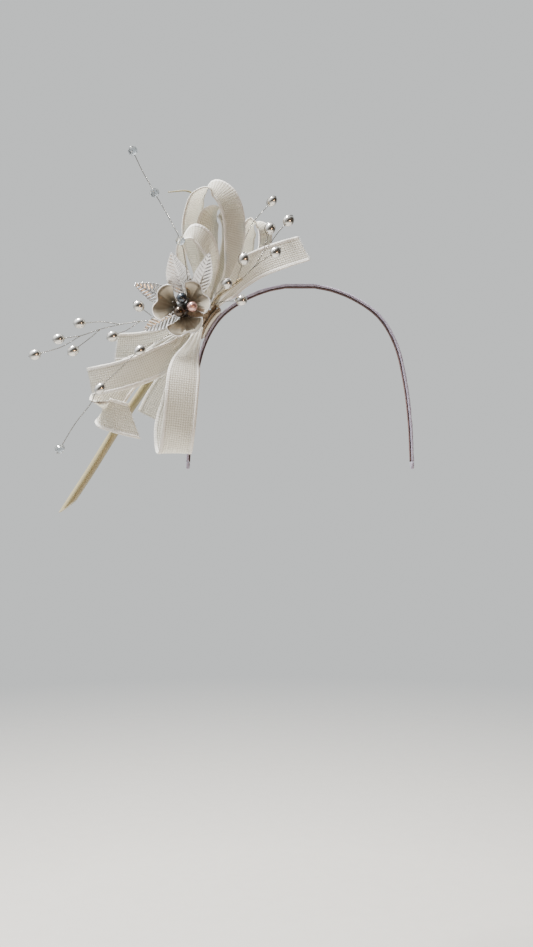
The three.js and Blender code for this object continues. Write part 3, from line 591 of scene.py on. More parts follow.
def material(slot):
    """The material of a slot, made once."""
    look = bpy.context.scene.fascinator
    makers = {
        "straw_cloth": lambda: straw_cloth(look),
        "straw_edge": lambda: hem_cloth(look),
        "straw_in_painted_shade": straw_in_painted_shade,
        "satin": lambda: satin_ribbon(look),
        "velvet_lining": velvet_lining,
        "felt": wool_felt,
        "spring_steel": spring_steel,
        "binding_thread": waxed_thread,
        "quill": lambda: quill_keratin(look),
        "pressed_leaf": pressed_leaf,
        "petal": lambda: petal_film(look),
        "petal_rim": petal_rim,
        "flower_cup": lacquered_calyx,
        "grey_pearl": lambda: pearl_coat("grey_pearl_coat", "#20252D", look.grey_bead, 0.75, 0.14),
        "bronze_pearl": lambda: pearl_coat("bronze_pearl_coat", "#1B120B", look.bronze_bead, 0.75, 0.14),
        "rose_pearl": lambda: pearl_coat("rose_pearl_coat", "#C98A83", look.rose_bead, 0.7, 0.13),
        "pearl": lambda: pearl_coat("white_pearl_coat", "#C9C5BE", look.pearl_colour, 0.9, 0.14),
        "crystal": cut_crystal,
        "wire": lambda: plated_wire("silvered_wire", "#5F5D59", "#BDBAB3"),
        "gilt_wire": lambda: plated_wire("gilt_wire", "#8E7443", "#D8BE86"),
        "floor": studio_floor,
    }
    if slot not in MATERIALS:
        MATERIALS[slot] = makers[slot]()
    return MATERIALS[slot]


# ---- Curves and meshes -------------------------------------------------------------------------------

def smooth_points(points, shares):
    """Points on a centripetal Catmull-Rom curve, at shares of its parameter from 0 to 1."""
    points = np.array(points, float)
    padded = np.vstack([2 * points[0] - points[1], points, 2 * points[-1] - points[-2]])
    spans = len(points) - 1
    made = np.zeros((len(shares), points.shape[1]))
    for row, share in enumerate(shares):
        where = share * spans
        index = min(int(where), spans - 1)
        weight = where - index
        p0, p1, p2, p3 = padded[index:index + 4]
        steps = [max(np.sum((b - a) ** 2), 1e-16) ** 0.25 for a, b in ((p0, p1), (p1, p2), (p2, p3))]
        if steps[1] < 1e-4:
            steps[1] = 1.0
        steps[0] = steps[1] if steps[0] < 1e-4 else steps[0]
        steps[2] = steps[1] if steps[2] < 1e-4 else steps[2]
        d0, d1, d2 = steps
        t1 = ((p1 - p0) / d0 - (p2 - p0) / (d0 + d1) + (p2 - p1) / d1) * d1
        t2 = ((p2 - p1) / d1 - (p3 - p1) / (d1 + d2) + (p3 - p2) / d2) * d1
        a = 2 * p1 - 2 * p2 + t1 + t2
        b = -3 * p1 + 3 * p2 - 2 * t1 - t2
        made[row] = p1 + t1 * weight + b * weight ** 2 + a * weight ** 3
    return made


def unit(v):
    """A vector, or each vector of a list, at length 1."""
    v = np.asarray(v, float)
    return v / np.maximum(np.linalg.norm(v, axis=-1, keepdims=True), 1e-12)


class Route:
    """A smooth line through points in millimetres, read by share of its length."""

    def __init__(self, points, fine=400):
        self.shares = np.linspace(0, 1, fine + 1)
        self.points = smooth_points([p[:3] for p in points], self.shares)
        steps = np.linalg.norm(np.diff(self.points, axis=0), axis=1)
        self.run = np.concatenate([[0], np.cumsum(steps)])
        self.length = self.run[-1]
        self.alongs = unit(np.gradient(self.points, self.run, axis=0))

    def parameter(self, share):
        """The curve's parameter at a share of its length."""
        return np.interp(np.asarray(share) * self.length, self.run, self.shares)

    def read(self, values, share):
        """Values given along the curve's fine steps, read at a share of its length."""
        where = np.atleast_1d(np.asarray(share, float)) * self.length
        return np.stack([np.interp(where, self.run, column) for column in values.T], axis=1)

    def at(self, share):
        """Points at shares of the length."""
        return self.read(self.points, share)

    def along(self, share):
        """Directions at shares of the length."""
        return unit(self.read(self.alongs, share))


def make_object(name, verts_mm, faces, uvs=None, mats=("straw_cloth",), face_mats=None, smooth=True):
    """A mesh object from points in millimetres; uvs are one pair per vertex or per corner."""
    mesh = bpy.data.meshes.new(name)
    mesh.from_pydata([tuple(v) for v in np.asarray(verts_mm) * MM], [], faces)
    mesh.validate()
    if uvs is not None:
        layer = mesh.uv_layers.new(name="Cloth")
        per_vertex = len(uvs) == len(mesh.vertices)
        for loop in mesh.loops:
            layer.data[loop.index].uv = uvs[loop.vertex_index if per_vertex else loop.index]
    for slot in mats:
        mesh.materials.append(material(slot))
    if face_mats is not None:
        mesh.polygons.foreach_set("material_index", face_mats)
    mesh.polygons.foreach_set("use_smooth", [smooth] * len(mesh.polygons))
    mesh.update()
    made = bpy.data.objects.new(name, mesh)
    bpy.context.scene.collection.objects.link(made)
    return made


def finish_piece(piece, body, nodes=()):
    """Fixes a piece to its body and takes over the CAD nodes it details."""
    missing = [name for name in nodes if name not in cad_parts]
    if missing or not piece.data.polygons:
        raise RuntimeError(f"{piece.name} can't be made: nodes missing from the frame {missing}")
    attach(piece, body)
    if nodes:
        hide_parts(*nodes)
    return piece


def rings_mesh(rings, caps=True):
    """Vertices and faces through rings of points; each ring is closed on itself."""
    count, sides = len(rings), len(rings[0])
    verts = np.concatenate(rings)
    faces = []
    for r in range(count - 1):
        for s in range(sides):
            a, b = r * sides + s, r * sides + (s + 1) % sides
            faces.append((a, b, b + sides, a + sides))
    if caps:
        faces.append(tuple(reversed(range(sides))))
        faces.append(tuple(range((count - 1) * sides, count * sides)))
    return verts, faces


def transported(points):
    """Two directions across a line at each of its points, turning as little as they can."""
    alongs = unit(np.gradient(points, axis=0))
    first = np.cross(alongs[0], (0, 0, 1) if abs(alongs[0][2]) < 0.9 else (1, 0, 0))
    across = [unit(first)]
    for a in alongs[1:]:
        last = across[-1]
        across.append(unit(last - a * np.dot(last, a)))
    across = np.array(across)
    return across, np.cross(alongs, across)


def tube(points, radius, sides=6):
    """Rings of a round tube; radius is one number or one for each point."""
    points = np.asarray(points, float)
    one, two = transported(points)
    radii = np.broadcast_to(radius, len(points))
    turns = 2 * np.pi * np.arange(sides) / sides
    return [p + r * (np.outer(np.cos(turns), a) + np.outer(np.sin(turns), b))
            for p, r, a, b in zip(points, radii, one, two)]


def joined(parts):
    """Several (verts, faces) pairs as one."""
    verts, faces, start = [], [], 0
    for part_verts, part_faces in parts:
        verts.append(part_verts)
        faces += [tuple(i + start for i in f) for f in part_faces]
        start += len(part_verts)
    return np.concatenate(verts), faces


def solid_sheet(surface, steps_u, steps_v, thickness, uv):
    """A thin closed solid about surface(u, v), with u and v from 0 to 1."""
    us, vs = np.linspace(0, 1, steps_u + 1), np.linspace(0, 1, steps_v + 1)
    grid = np.array([[surface(u, v) for u in us] for v in vs], float)
    du = np.gradient(grid, axis=1)
    dv = np.gradient(grid, axis=0)
    normal = unit(np.cross(du, dv))
    near = (grid + normal * thickness / 2).reshape(-1, 3)
    far = (grid - normal * thickness / 2).reshape(-1, 3)
    row, count = steps_u + 1, len(near)
    faces = []
    for j in range(steps_v):
        for i in range(steps_u):
            a = j * row + i
            faces.append((a, a + 1, a + row + 1, a + row))
            faces.append((a + count, a + row + count, a + row + 1 + count, a + 1 + count))
    rim = [(i, i + 1) for i in range(steps_u)]
    rim += [(steps_v * row + i + 1, steps_v * row + i) for i in range(steps_u)]
    rim += [((j + 1) * row, j * row) for j in range(steps_v)]
    rim += [(j * row + steps_u, (j + 1) * row + steps_u) for j in range(steps_v)]
    faces += [(a, a + count, b + count, b) for a, b in rim]
    pairs = [uv(u, v) for v in vs for u in us]
    return np.concatenate([near, far]), faces, pairs + pairs


def smoothstep(x):
    """Rises smoothly from 0 at x = 0 to 1 at x = 1."""
    x = min(max(x, 0.0), 1.0)
    return x * x * (3 - 2 * x)


# ---- Straw-cloth strips -------------------------------------------------------------------------------

CLOTH_THICK = 0.55   # one layer of straw cloth
HEM_THICK = 1.1      # two layers
PLEAT_HEIGHT = 0.7   # of the three half-waves that a strip is gathered into at its root
WAVER_HEIGHT = 0.45  # of the slow waves along a strip
CUP_HEIGHT = 0.35    # how far a strip's middle stands out from its edges
FRAY_COUNT = 26      # loose straw ends on a tail
FRAY_START = 0.8     # how far inside the cut edge a loose end begins


def strip_mesh(name, width, route, slant=0.0):
    """One strip: gathered into pleats at its bound ends, with a turned-in edge on each side."""
    hem = bpy.context.scene.fascinator.turned_edge / MM
    is_loop = name.startswith("loop")
    line = Route(route)
    ways = smooth_points([p[3:] for p in route], line.shares)
    seed = sum(map(ord, name)) * 0.137
    edge_columns = [0.77, 0.8, 0.84, 0.9, 0.95, 0.985, 1]
    columns = np.array([-c for c in edge_columns[::-1]] + list(np.linspace(-0.7, 0.7, 11)) + edge_columns)
    half_hem = 1 - 2 * hem / width
    edge_places = half_hem + (np.abs(columns) - 0.8) / 0.2 * (1 - half_hem)
    columns = np.where(np.abs(columns) > 0.75, np.sign(columns) * edge_places, columns)
    columns = np.clip(columns, -1, 1)
    rows = max(60, int(line.length / 1.6))

    def point(u, v):
        share = v * (1 - abs(slant) / 2 + slant * (u / 2))
        spot, along = line.at(share)[0], line.along(share)[0]
        way = line.read(ways, share)[0]
        way = unit(way - along * np.dot(way, along))
        out = np.cross(along, way)
        to_root = min(share, 1 - share) if is_loop else share
        open_share = smoothstep(to_root / GATHER)
        here = ROOT_WIDTH + (width - ROOT_WIDTH) * open_share
        pleat = PLEAT_HEIGHT * (1 - open_share) * math.sin(3 * math.pi * u + seed)
        place = spot * 0.02
        waver = WAVER_HEIGHT * noise.noise(Vector((place[0], place[1] + seed, place[2]))) * open_share
        cup = CUP_HEIGHT * (1 - u * u) * open_share
        return spot + way * (u * here / 2) + out * (pleat + waver + cup)

    grid = np.array([[point(u, v) for u in columns] for v in np.linspace(0, 1, rows + 1)])
    du, dv = np.gradient(grid, axis=1), np.gradient(grid, axis=0)
    normal = unit(np.cross(du, dv))
    edge = np.clip((np.abs(columns) - half_hem) / 0.02, 0, 1)
    round_off = np.sqrt(np.clip((1 - np.abs(columns)) / (1 - half_hem) * 6, 0.05, 1))
    thick = (CLOTH_THICK + (HEM_THICK - CLOTH_THICK) * edge) * round_off
    near = grid + normal * thick[None, :, None] / 2
    far = grid - normal * thick[None, :, None] / 2
    rings = [np.concatenate([n, f[::-1]]) for n, f in zip(near, far)]
    verts, faces = rings_mesh(rings)
    sides = len(rings[0])
    across = np.concatenate([columns, columns[::-1]]) * width / 2
    uvs = []
    for j in range(rows + 1):
        uvs += [(x, j / rows * line.length) for x in across]
    hem_side = np.abs(np.concatenate([columns, columns[::-1]])) > half_hem - 1e-6
    face_mats = []
    for j in range(rows):
        for s in range(sides):
            face_mats.append(int(hem_side[s] and hem_side[(s + 1) % sides]))
    face_mats += [1, 1]
    return verts, faces, uvs, face_mats, line


def frayed_ends(name, width, route, slant):
    """Loose straw ends that stand out of a tail's cut edge."""
    line = Route(route)
    ways = smooth_points([p[3:] for p in route], line.shares)
    rng = np.random.default_rng(sum(map(ord, name)))
    parts = []
    for u in np.linspace(-0.95, 0.95, FRAY_COUNT):
        share = 1 - abs(slant) / 2 + slant * (u / 2)
        spot, along = line.at(share)[0], line.along(share)[0]
        way = line.read(ways, share)[0]
        way = unit(way - along * np.dot(way, along))
        reach = rng.uniform(0.4, 1.8)
        lean = rng.uniform(-0.25, 0.25)
        start = spot + way * (u * width / 2) - along * FRAY_START
        points = [start + along * (FRAY_START + reach) * t + way * lean * reach * t * t
                  for t in (0, 0.5, 1)]
        parts.append(rings_mesh(tube(points, [0.16, 0.14, 0.06], 5)))
    return joined(parts)


class FASCINATOR_OT_strips(bpy.types.Operator):
    """Makes the straw-cloth loops and tails with turned-in edges, pleated roots and frayed ends"""
    bl_idname = "fascinator.strips"
    bl_label = "Straw-cloth strips"

    def execute(self, context):
        for name, made in STRIPS.items():
            slant = made.get("slant", 0.0)
            verts, faces, uvs, face_mats, line = strip_mesh(name, made["width"], made["route"], slant)
            piece = make_object(f"{name}_cloth", verts, faces, uvs, ("straw_cloth", "straw_edge"), face_mats)
            finish_piece(piece, TRIM, (name,))
            if name.startswith("tail"):
                fray_verts, fray_faces = frayed_ends(name, made["width"], made["route"], slant)
                fray = make_object(f"{name}_fray", fray_verts, fray_faces,
                                   [(v[0], v[2]) for v in fray_verts], ("straw_edge",))
                finish_piece(fray, TRIM)
        return {"FINISHED"}


# ---- Band --------------------------------------------------------------------------------------------

LINING_DEPTH, LINING_WIDTH = 0.5, 7.0
SATIN_FROM, SATIN_DEPTH, SATIN_WIDTH = 0.8, 2.0, 8.0    # the satin lies outside the lining
CROWN_HALF = 11         # half the straight run over the crown


def band_line():
    """The whole band from the left tip over the crown to the right tip: points and outward ways."""
    half = Route([(x, 0, z) for x, z in BAND_ROUTE])
    shares = np.linspace(0, 1, 90)
    points, alongs = half.at(shares), half.along(shares)
    alongs[0] = (1, 0, 0)
    outs = np.stack([-alongs[:, 2], alongs[:, 1] * 0, alongs[:, 0]], axis=1)
    crown = np.array([[x, 0, 0] for x in np.linspace(0, CROWN_HALF, 8)])
    right = np.vstack([crown, points])
    right_out = np.vstack([np.tile((0, 0, 1), (8, 1)), outs])
    flip = np.array([-1, 1, 1])
    left, left_out = right[:0:-1] * flip, right_out[:0:-1] * flip
    return np.vstack([left, right]), np.vstack([left_out, right_out])


def rounded_section(width, low, high, corner, steps=4):
    """Points round a rounded rectangle, as (across, out from the head)."""
    outline = []
    for sx, sy, start in ((1, 1, 0), (-1, 1, 90), (-1, -1, 180), (1, -1, 270)):
        cx, cy = sx * (width / 2 - corner), (low + high) / 2 + sy * ((high - low) / 2 - corner)
        for i in range(steps + 1):
            turn = math.radians(start + 90 * i / steps)
            outline.append((cx + corner * math.cos(turn), cy + corner * math.sin(turn)))
    return outline


def band_sweep(section, pucker=0.0):
    """Vertices, faces and cloth places of a section swept along the whole band."""
    points, outs = band_line()
    run = np.concatenate([[0], np.cumsum(np.linalg.norm(np.diff(points, axis=0), axis=1))])
    rings, uvs = [], []
    for i, (p, out) in enumerate(zip(points, outs)):
        ring = []
        for across, depth in section:
            ripple = pucker * noise.noise(Vector((run[i] * 0.35, across * 0.3, depth * 0.5)))
            ring.append(p + np.array((0, across, 0)) + out * (depth + ripple))
            uvs.append((across + depth, run[i]))
        rings.append(np.array(ring))
    verts, faces = rings_mesh(rings)
    return verts, faces, uvs


def folded_tip(side):
    """The ribbon's folded end at one tip of the band: two turned layers and a pulled corner."""
    points, outs = band_line()
    end, out = points[0 if side < 0 else -1], outs[0 if side < 0 else -1]
    along = unit(points[0] - points[1]) if side < 0 else unit(points[-1] - points[-2])
    across = np.array((0, 1, 0))
    rings = []
    for down, half, low, high in ((0.35, 4.2, 0.1, 2.7), (1.2, 4.25, 0.05, 2.8), (3.5, 4.1, 0.05, 2.8),
                                  (5.0, 3.9, 0.15, 2.6), (5.7, 3.3, 0.6, 2.2), (5.95, 2.6, 1.0, 1.8)):
        ring = []
        for a, d in rounded_section(2 * half, low, high, (high - low) * 0.42):
            fold = 0.12 * math.sin(a * 2.1 + down * 1.4)
            ring.append(end + along * (down + fold) + across * a + out * d)
        rings.append(np.array(ring))
    return rings_mesh(rings)


class FASCINATOR_OT_band(bpy.types.Operator):
    """Makes the satin-covered head band with its lining, folded tips and the steel core's finish"""
    bl_idname = "fascinator.band"
    bl_label = "Head band"

    def execute(self, context):
        section = rounded_section(SATIN_WIDTH, SATIN_FROM, SATIN_FROM + SATIN_DEPTH, 0.8)
        verts, faces, uvs = band_sweep(section, 0.28)
        satin = make_object("band_satin", verts, faces, uvs, ("satin",))
        section = rounded_section(LINING_WIDTH, 0.0, LINING_DEPTH, 0.22, 3)
        verts, faces, uvs = band_sweep(section, 0.05)
        lining = make_object("band_lining", verts, faces, uvs, ("velvet_lining",))
        for piece, slot in ((satin, "satin"), (lining, "velvet_lining")):
            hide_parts(f"{piece.name}_left", f"{piece.name}_right")
            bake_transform(piece)
        for side, label, body in ((-1, "left", TRIM), (1, "right", "band_right")):
            verts, faces = folded_tip(side)
            tip = make_object(f"band_tip_{label}_fold", verts, faces,
                              [(v[1], v[2]) for v in verts], ("satin",))
            finish_piece(tip, body, (f"band_tip_{label}",))
            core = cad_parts[f"band_core_{label}"]
            core.data.materials.clear()
            core.data.materials.append(material("spring_steel"))
        return {"FINISHED"}


# ---- Base and bound roots ------------------------------------------------------------------------------

def base_surface(length, width, height):
    """A rounded plate over the band's shoulder, at a height out from the band's inner face."""
    half = Route([(x, 0, z) for x, z in BAND_ROUTE])

    def surface(u, v):
        run = (v - 0.5) * length
        share = SEAT_ON_BAND + run / half.length
        spot, along = half.at(share)[0], half.along(share)[0]
        out = np.array((-along[2], 0, along[0]))
        round_side = math.sqrt(max(1 - (0.92 * 2 * (v - 0.5)) ** 2, 0))
        place = spot + out * height
        return np.array((-place[0], (u - 0.5) * width * round_side - 6, place[2]))

    return surface


def ruffle():
    """A frill of taupe-brown straw cloth, its brown partly painted shade, that stands round the front half
    of the base plate's edge.
    """
    foot, rim = base_surface(22, 21, 6.6), base_surface(27, 29, 7.4)

    def surface(u, v):
        turn = math.pi * (0.04 + 0.92 * u)
        side = 0.5 - 0.5 * math.sin(turn)
        along = 0.5 - 0.48 * math.cos(turn)
        low, high = foot(side, along), rim(side, along)
        wave = 1.5 * v * math.sin(u * 58) + 0.5 * v * math.sin(u * 131)
        lift = unit(np.array((-0.55, -0.25, 0.6))) * (2.6 * v + wave)
        return low + (high - low) * v + lift

    return solid_sheet(surface, 150, 7, 0.35, lambda u, v: (u * 60, v * 8))


THREAD_TURNS = 15
THREAD_RADIUS = 0.42
CROSSING_THREAD = 0.4    # pulled tighter, so a little thinner
WRAP_HALF = 5.9          # half the length of the wrap
WRAP_RADIUS = 5.05       # to the middle of the thread
BUNDLE_RADII = [3.2, 4.2, 4.6, 4.7, 4.7, 4.7, 4.6, 4.2, 3.2]
CROSSING_REACH = 4.6     # how far along the wrap the crossing turn slants
CROSSING_RADIUS = 5.0


def thread_wrap():
    """Thread wound in close turns over the bundle of roots, with a turn that crosses them."""
    low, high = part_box("root_wrap")
    centre = np.array((low + high) / 2) / MM
    shoulder = Route([(x, 0, z) for x, z in BAND_ROUTE]).along(SEAT_ON_BAND)[0]
    axis = unit(np.array((-shoulder[0], 0, shoulder[2])))
    side = unit(np.cross(axis, (0, 1, 0)))
    other = np.cross(axis, side)

    def around(turn):
        return side * math.cos(turn) + other * math.sin(turn)

    wound = []
    for share in np.linspace(0, 1, THREAD_TURNS * 20 + 1):
        from_middle = 2 * share - 1
        # The wrap tapers at both ends, and its turns lie a little unevenly.
        radius = WRAP_RADIUS - 1.5 * abs(from_middle) ** 5 + 0.1 * math.sin(share * 39)
        turn = 2 * math.pi * THREAD_TURNS * share
        wound.append(centre + axis * from_middle * WRAP_HALF + radius * around(turn))
    inner = [centre + axis * h for h in np.linspace(-WRAP_HALF, WRAP_HALF, len(BUNDLE_RADII))]
    crossing = [centre + axis * CROSSING_REACH * math.sin(turn) + CROSSING_RADIUS * around(turn)
                for turn in np.linspace(0, 2 * math.pi, 41)]
    return joined([rings_mesh(tube(inner, BUNDLE_RADII, 20)), rings_mesh(tube(wound, THREAD_RADIUS, 7)),
                   rings_mesh(tube(crossing, CROSSING_THREAD, 7))])


class FASCINATOR_OT_base(bpy.types.Operator):
    """Makes the felt pad, the straw-covered base plate with its stitches, and the thread wrap"""
    bl_idname = "fascinator.base"
    bl_label = "Base and bound roots"

    def execute(self, context):
        uv = lambda u, v: ((u - 0.5) * 26, v * 26)
        for name, slot, length, width, height, thick in (
                ("base_felt", "felt", 23, 23, 3.6, 1.0), ("base_plate", "buckram", 26, 26, 5.2, 1.5)):
            surface = base_surface(length, width, height)
            verts, faces, uvs = solid_sheet(surface, 16, 24, thick, uv)
            mats = ("felt",) if slot == "felt" else ("straw_in_painted_shade",)
            piece = make_object(f"{name}_pad", verts, faces, uvs, mats)
            finish_piece(piece, TRIM, (name,))
        outline = base_surface(24.5, 24, 6.1)
        stitches = []
        for side in (0.0, 1.0):
            for i in range(12):
                ends = [outline(side, (i + s) / 12) for s in (0.15, 0.5, 0.8)]
                stitches.append(rings_mesh(tube(ends, 0.2, 5)))
        verts, faces = joined(stitches)
        stitching = make_object("base_stitches", verts, faces, None, ("binding_thread",))
        finish_piece(stitching, TRIM)
        verts, faces, uvs = ruffle()
        finish_piece(make_object("base_ruffle", verts, faces, uvs, ("straw_in_painted_shade",)), TRIM)
        verts, faces = thread_wrap()
        wrap = make_object("root_wrap_thread", verts, faces, None, ("binding_thread",))
        finish_piece(wrap, TRIM, ("root_wrap",))
        return {"FINISHED"}


# ---- Quill ---------------------------------------------------------------------------------------------

class FASCINATOR_OT_quill(bpy.types.Operator):
    """Makes the stripped feather quill with its slant cut barrel and curled tip"""
    bl_idname = "fascinator.quill"
    bl_label = "Feather quill"

    def execute(self, context):
        barrel = context.scene.fascinator.quill_radius / MM
        line = Route(QUILL, 600)
        sizes = smooth_points([p[3:] for p in QUILL], line.shares)
        shares = np.concatenate([np.linspace(0, 0.06, 26)[:-1], np.linspace(0.06, 1, 150)])
        points = line.at(shares)
        one, two = transported(points)
        turns = 2 * np.pi * np.arange(QUILL_SIDES) / QUILL_SIDES
        rings, uvs = [], []
        for share, p, a, b in zip(shares, points, one, two):
            run = share * line.length
            size = float(np.interp(line.parameter(share), line.shares, sizes[:, 0]))
            radius = barrel * (0.97 if run < QUILL_CUT else max(size, 0.13))
            along = line.along(share)[0]
            cut_way = unit(np.array((1.0, 0, 0)) - along * along[0])
            level = min(2 * (run / QUILL_CUT) ** 0.8 - 1, 1.0)
            chord = radius * max(math.sqrt(max(1 - level ** 2, 0)), 0.08)
            side_way = np.cross(along, cut_way)
            ring = []
            for turn in turns:
                groove = 1 - 0.05 * math.exp(-((turn - math.pi) / 0.35) ** 2)
                offset = radius * groove * (math.cos(turn) * a + math.sin(turn) * b)
                out = np.dot(offset, cut_way)
                if run < QUILL_CUT and out > level * radius:
                    # On the slant cut: pressed back on to the sloping plane, with a shallow hollow.
                    wide = min(max(np.dot(offset, side_way), -chord), chord)
                    hollow = 0.25 * radius * max(1 - (wide / max(chord, 1e-6)) ** 2, 0) * (1 - abs(level))
                    offset = cut_way * (level * radius - hollow) + side_way * wide
                ring.append(p + offset)
                uvs.append((math.cos(turn) * barrel, run))
            rings.append(np.array(ring))
        verts, faces = rings_mesh(rings)
        piece = make_object("feather_quill_shaft", verts, faces, uvs, ("quill",))
        finish_piece(piece, TRIM, ("feather_quill",))
        return {"FINISHED"}


# ---- Leaves and flower ------------------------------------------------------------------------------------

LEAF_THICK = 0.35
VEIN_PITCH = 3.3     # spacing of a leaf's side veins
VEIN_HEIGHT = 0.42
MIDRIB_DEPTH = 0.65  # how deep the midrib is sunk at the stalk


def leaf_surface(start, end, width, face):
    """A pressed leaf: notched edge, sunk midrib and side veins that slope to the point."""
    start, along = np.array(start, float), np.array(end, float) - np.array(start, float)
    out = unit(face)
    across = unit(np.cross(along, out))
    length = np.linalg.norm(along)

    def surface(u, v):
        side = 2 * u - 1
        half = (width / 2) * max(math.sin(math.pi * (0.05 + 0.92 * v ** 0.85)), 0.06)
        half *= 1 + 0.035 * math.sin(v * length * 2.4) * abs(side) ** 6
        lift = 2.0 * abs(side) * math.sin(math.pi * v)
        vein = 1 - 2 * abs(math.sin((v * length - abs(side) * half * 0.9) * math.pi / VEIN_PITCH))
        lift += VEIN_HEIGHT * vein * (1 - abs(side) ** 4) * min(4 * abs(side), 1) * min(5 * v, 1)
        lift -= MIDRIB_DEPTH * math.exp(-(side / 0.08) ** 2) * (1 - v)
        curl = 1.1 * v * v
        return start + along * v + across * (side * half) + out * (lift + curl)

    return surface, width, length


def flower_axes():
    """The flower's own right, up and face directions."""
    face = unit(FLOWER_FACE)
    up = np.array((0, 0, 1.0))
    up = unit(up - face * np.dot(up, face))
    return unit(np.cross(up, face)), up, face


def petal_surface(degrees):
    """A cupped petal with two round lobes and a turned-out rim."""
    right, up, face = flower_axes()
    middle = math.radians(degrees)

    def surface(u, v):
        side = 2 * u - 1
        notch = 0.16 * math.exp(-(side / 0.22) ** 2) * v ** 2
        rounded = 0.22 * side ** 4 * v
        reach = PETAL_START + (PETAL_LENGTH - PETAL_START) * v * (1 - notch - rounded)
        spread = PETAL_SPREAD * (0.45 + 0.55 * math.sin(math.pi / 2 * v))
        turn = middle + side * spread
        lift = PETAL_CUP * v ** 1.6 - 1.2 * v * math.cos(math.pi * side)
        lift += 0.25 * math.sin(side * 9 + degrees) * v * v - 0.8 * max(v - 0.88, 0) * 6
        return (np.array(FLOWER_CENTRE) + right * reach * math.cos(turn) + up * reach * math.sin(turn)
                + face * lift)

    return surface


def rolled_rim(surface):
    """The rolled edge of a petal: up one side, round both lobes and down the other side."""
    outline = [surface(0, v) for v in np.linspace(0.45, 0.98, 14)]
    outline += [surface(u, 1) for u in np.linspace(0.02, 0.98, 48)]
    outline += [surface(1, v) for v in np.linspace(0.98, 0.45, 14)]
    place = np.arange(len(outline))
    sizes = RIM_RADIUS * np.clip(np.minimum(place, place[::-1]) / 10, 0.35, 1)
    return rings_mesh(tube(outline, sizes, 8))


def flower_backing(u, v):
    """A scrap of taupe-brown straw cloth, crimped at its edge, that fills the gap under two petals; its
    brown is partly painted shade.
    """
    right, up, face = flower_axes()
    turn, reach = 2 * math.pi * u, BACKING_RADIUS * v
    crimp = 0.7 * math.sin(11 * turn) * v ** 3
    middle = np.array(FLOWER_CENTRE) + right * 7 - up * 4.5 - face * 1.2
    return middle + (right * math.cos(turn) + up * math.sin(turn)) * (reach + crimp) + face * crimp


def stamens():
    """Thin dark stalks with round heads, in a ring about the three centre beads."""
    right, up, face = flower_axes()
    parts = []
    centre = np.array(FLOWER_CENTRE, float)
    for i in range(STAMENS):
        turn = 2 * math.pi * i / STAMENS + 0.3
        reach = 7.2 + 1.6 * math.sin(i * 2.3)
        height = 5.0 + 1.5 * math.cos(i * 1.7)
        foot = centre + (right * math.cos(turn) + up * math.sin(turn)) * 2.0 + face * 1.0
        head = centre + (right * math.cos(turn) + up * math.sin(turn)) * reach + face * height
        parts.append(rings_mesh(tube([foot, (foot + head) / 2 + face * 0.8, head], 0.22, 6)))
        parts.append(ball(head, 0.85, face, 10, 8))
    return parts


def ball(centre, radius, axis, sides=20, rows=14, stretch=1.0, hole=0.0):
    """A bead about an axis; a hole of that radius is sunk into each end."""
    axis = unit(axis)
    one = unit(np.cross(axis, (0, 0, 1) if abs(axis[2]) < 0.9 else (1, 0, 0)))
    two = np.cross(axis, one)
    turns = 2 * np.pi * np.arange(sides) / sides
    rings = []
    for i in range(rows + 1):
        tilt = -math.pi / 2 + math.pi * i / rows
        across = max(radius * math.cos(tilt), hole if hole else 0.02)
        height = radius * math.sin(tilt) * stretch
        spread = across * (np.outer(np.cos(turns), one) + np.outer(np.sin(turns), two))
        rings.append(centre + axis * height + spread)
    if hole:
        inner = rings[0] * 1.0
        sink = radius * 0.35
        rings.insert(0, inner + axis * sink)
        rings.append(rings[-1] - axis * sink)
    return rings_mesh(rings)


class FASCINATOR_OT_flower(bpy.types.Operator):
    """Makes the pressed leaves, the smoked petals, the calyx with its stamens and the centre beads"""
    bl_idname = "fascinator.flower"
    bl_label = "Flower and leaves"

    def execute(self, context):
        for name, made in LEAVES.items():
            surface, width, length = leaf_surface(**made)
            uv = lambda u, v, w=width, l=length: (u * w, v * l)
            verts, faces, uvs = solid_sheet(surface, 26, 60, LEAF_THICK, uv)
            piece = make_object(f"{name}_foil", verts, faces, uvs, ("pressed_leaf",))
            finish_piece(piece, TRIM, (name,))
        for name, degrees in PETALS.items():
            surface = petal_surface(degrees)
            uv = lambda u, v: (u * 22, v * PETAL_LENGTH)
            verts, faces, uvs = solid_sheet(surface, 36, 26, PETAL_THICK, uv)
            piece = make_object(f"{name}_film", verts, faces, uvs, ("petal",))
            finish_piece(piece, TRIM, (name,))
            verts, faces = rolled_rim(surface)
            finish_piece(make_object(f"{name}_rim", verts, faces, None, ("petal_rim",)), TRIM)
        uv = lambda u, v: (u * 2 * math.pi * BACKING_RADIUS, v * BACKING_RADIUS)
        verts, faces, uvs = solid_sheet(flower_backing, 96, 6, PETAL_THICK, uv)
        finish_piece(make_object("flower_backing", verts, faces, uvs, ("straw_in_painted_shade",)), TRIM)
        face = flower_axes()[2]
        dome = ball(np.array(FLOWER_CENTRE) + face * 0.2, 5.2, face, 28, 12, 0.5)
        verts, faces = joined([dome] + stamens())
        cup = make_object("flower_cup_stamens", verts, faces, None, ("flower_cup",))
        finish_piece(cup, TRIM, ("flower_cup",))
        for name, (place, slot) in CENTRE_BEADS.items():
            radius = context.scene.fascinator.centre_radius / MM
            verts, faces = ball(np.array(place, float), radius, face, BEAD_SIDES, BEAD_ROWS, 1.0, BEAD_HOLE)
            finish_piece(make_object(f"{name}_lustre", verts, faces, None, (slot,)), TRIM, (name,))
        return {"FINISHED"}


# ---- Beads and wires -------------------------------------------------------------------------------

def bead_size(kind):
    """A bead's radius in millimetres, and its length along the hole as a share of that."""
    look = bpy.context.scene.fascinator
    radius = {"pearl": look.pearl_radius, "drop": look.drop_radius, "crystal": look.crystal_radius}[kind]
    return radius / MM, BEAD_STRETCH[kind]


def place_of(item):
    """The point of a plain route item or of a bead."""
    return np.array(item[2] if isinstance(item[0], str) else item, float)


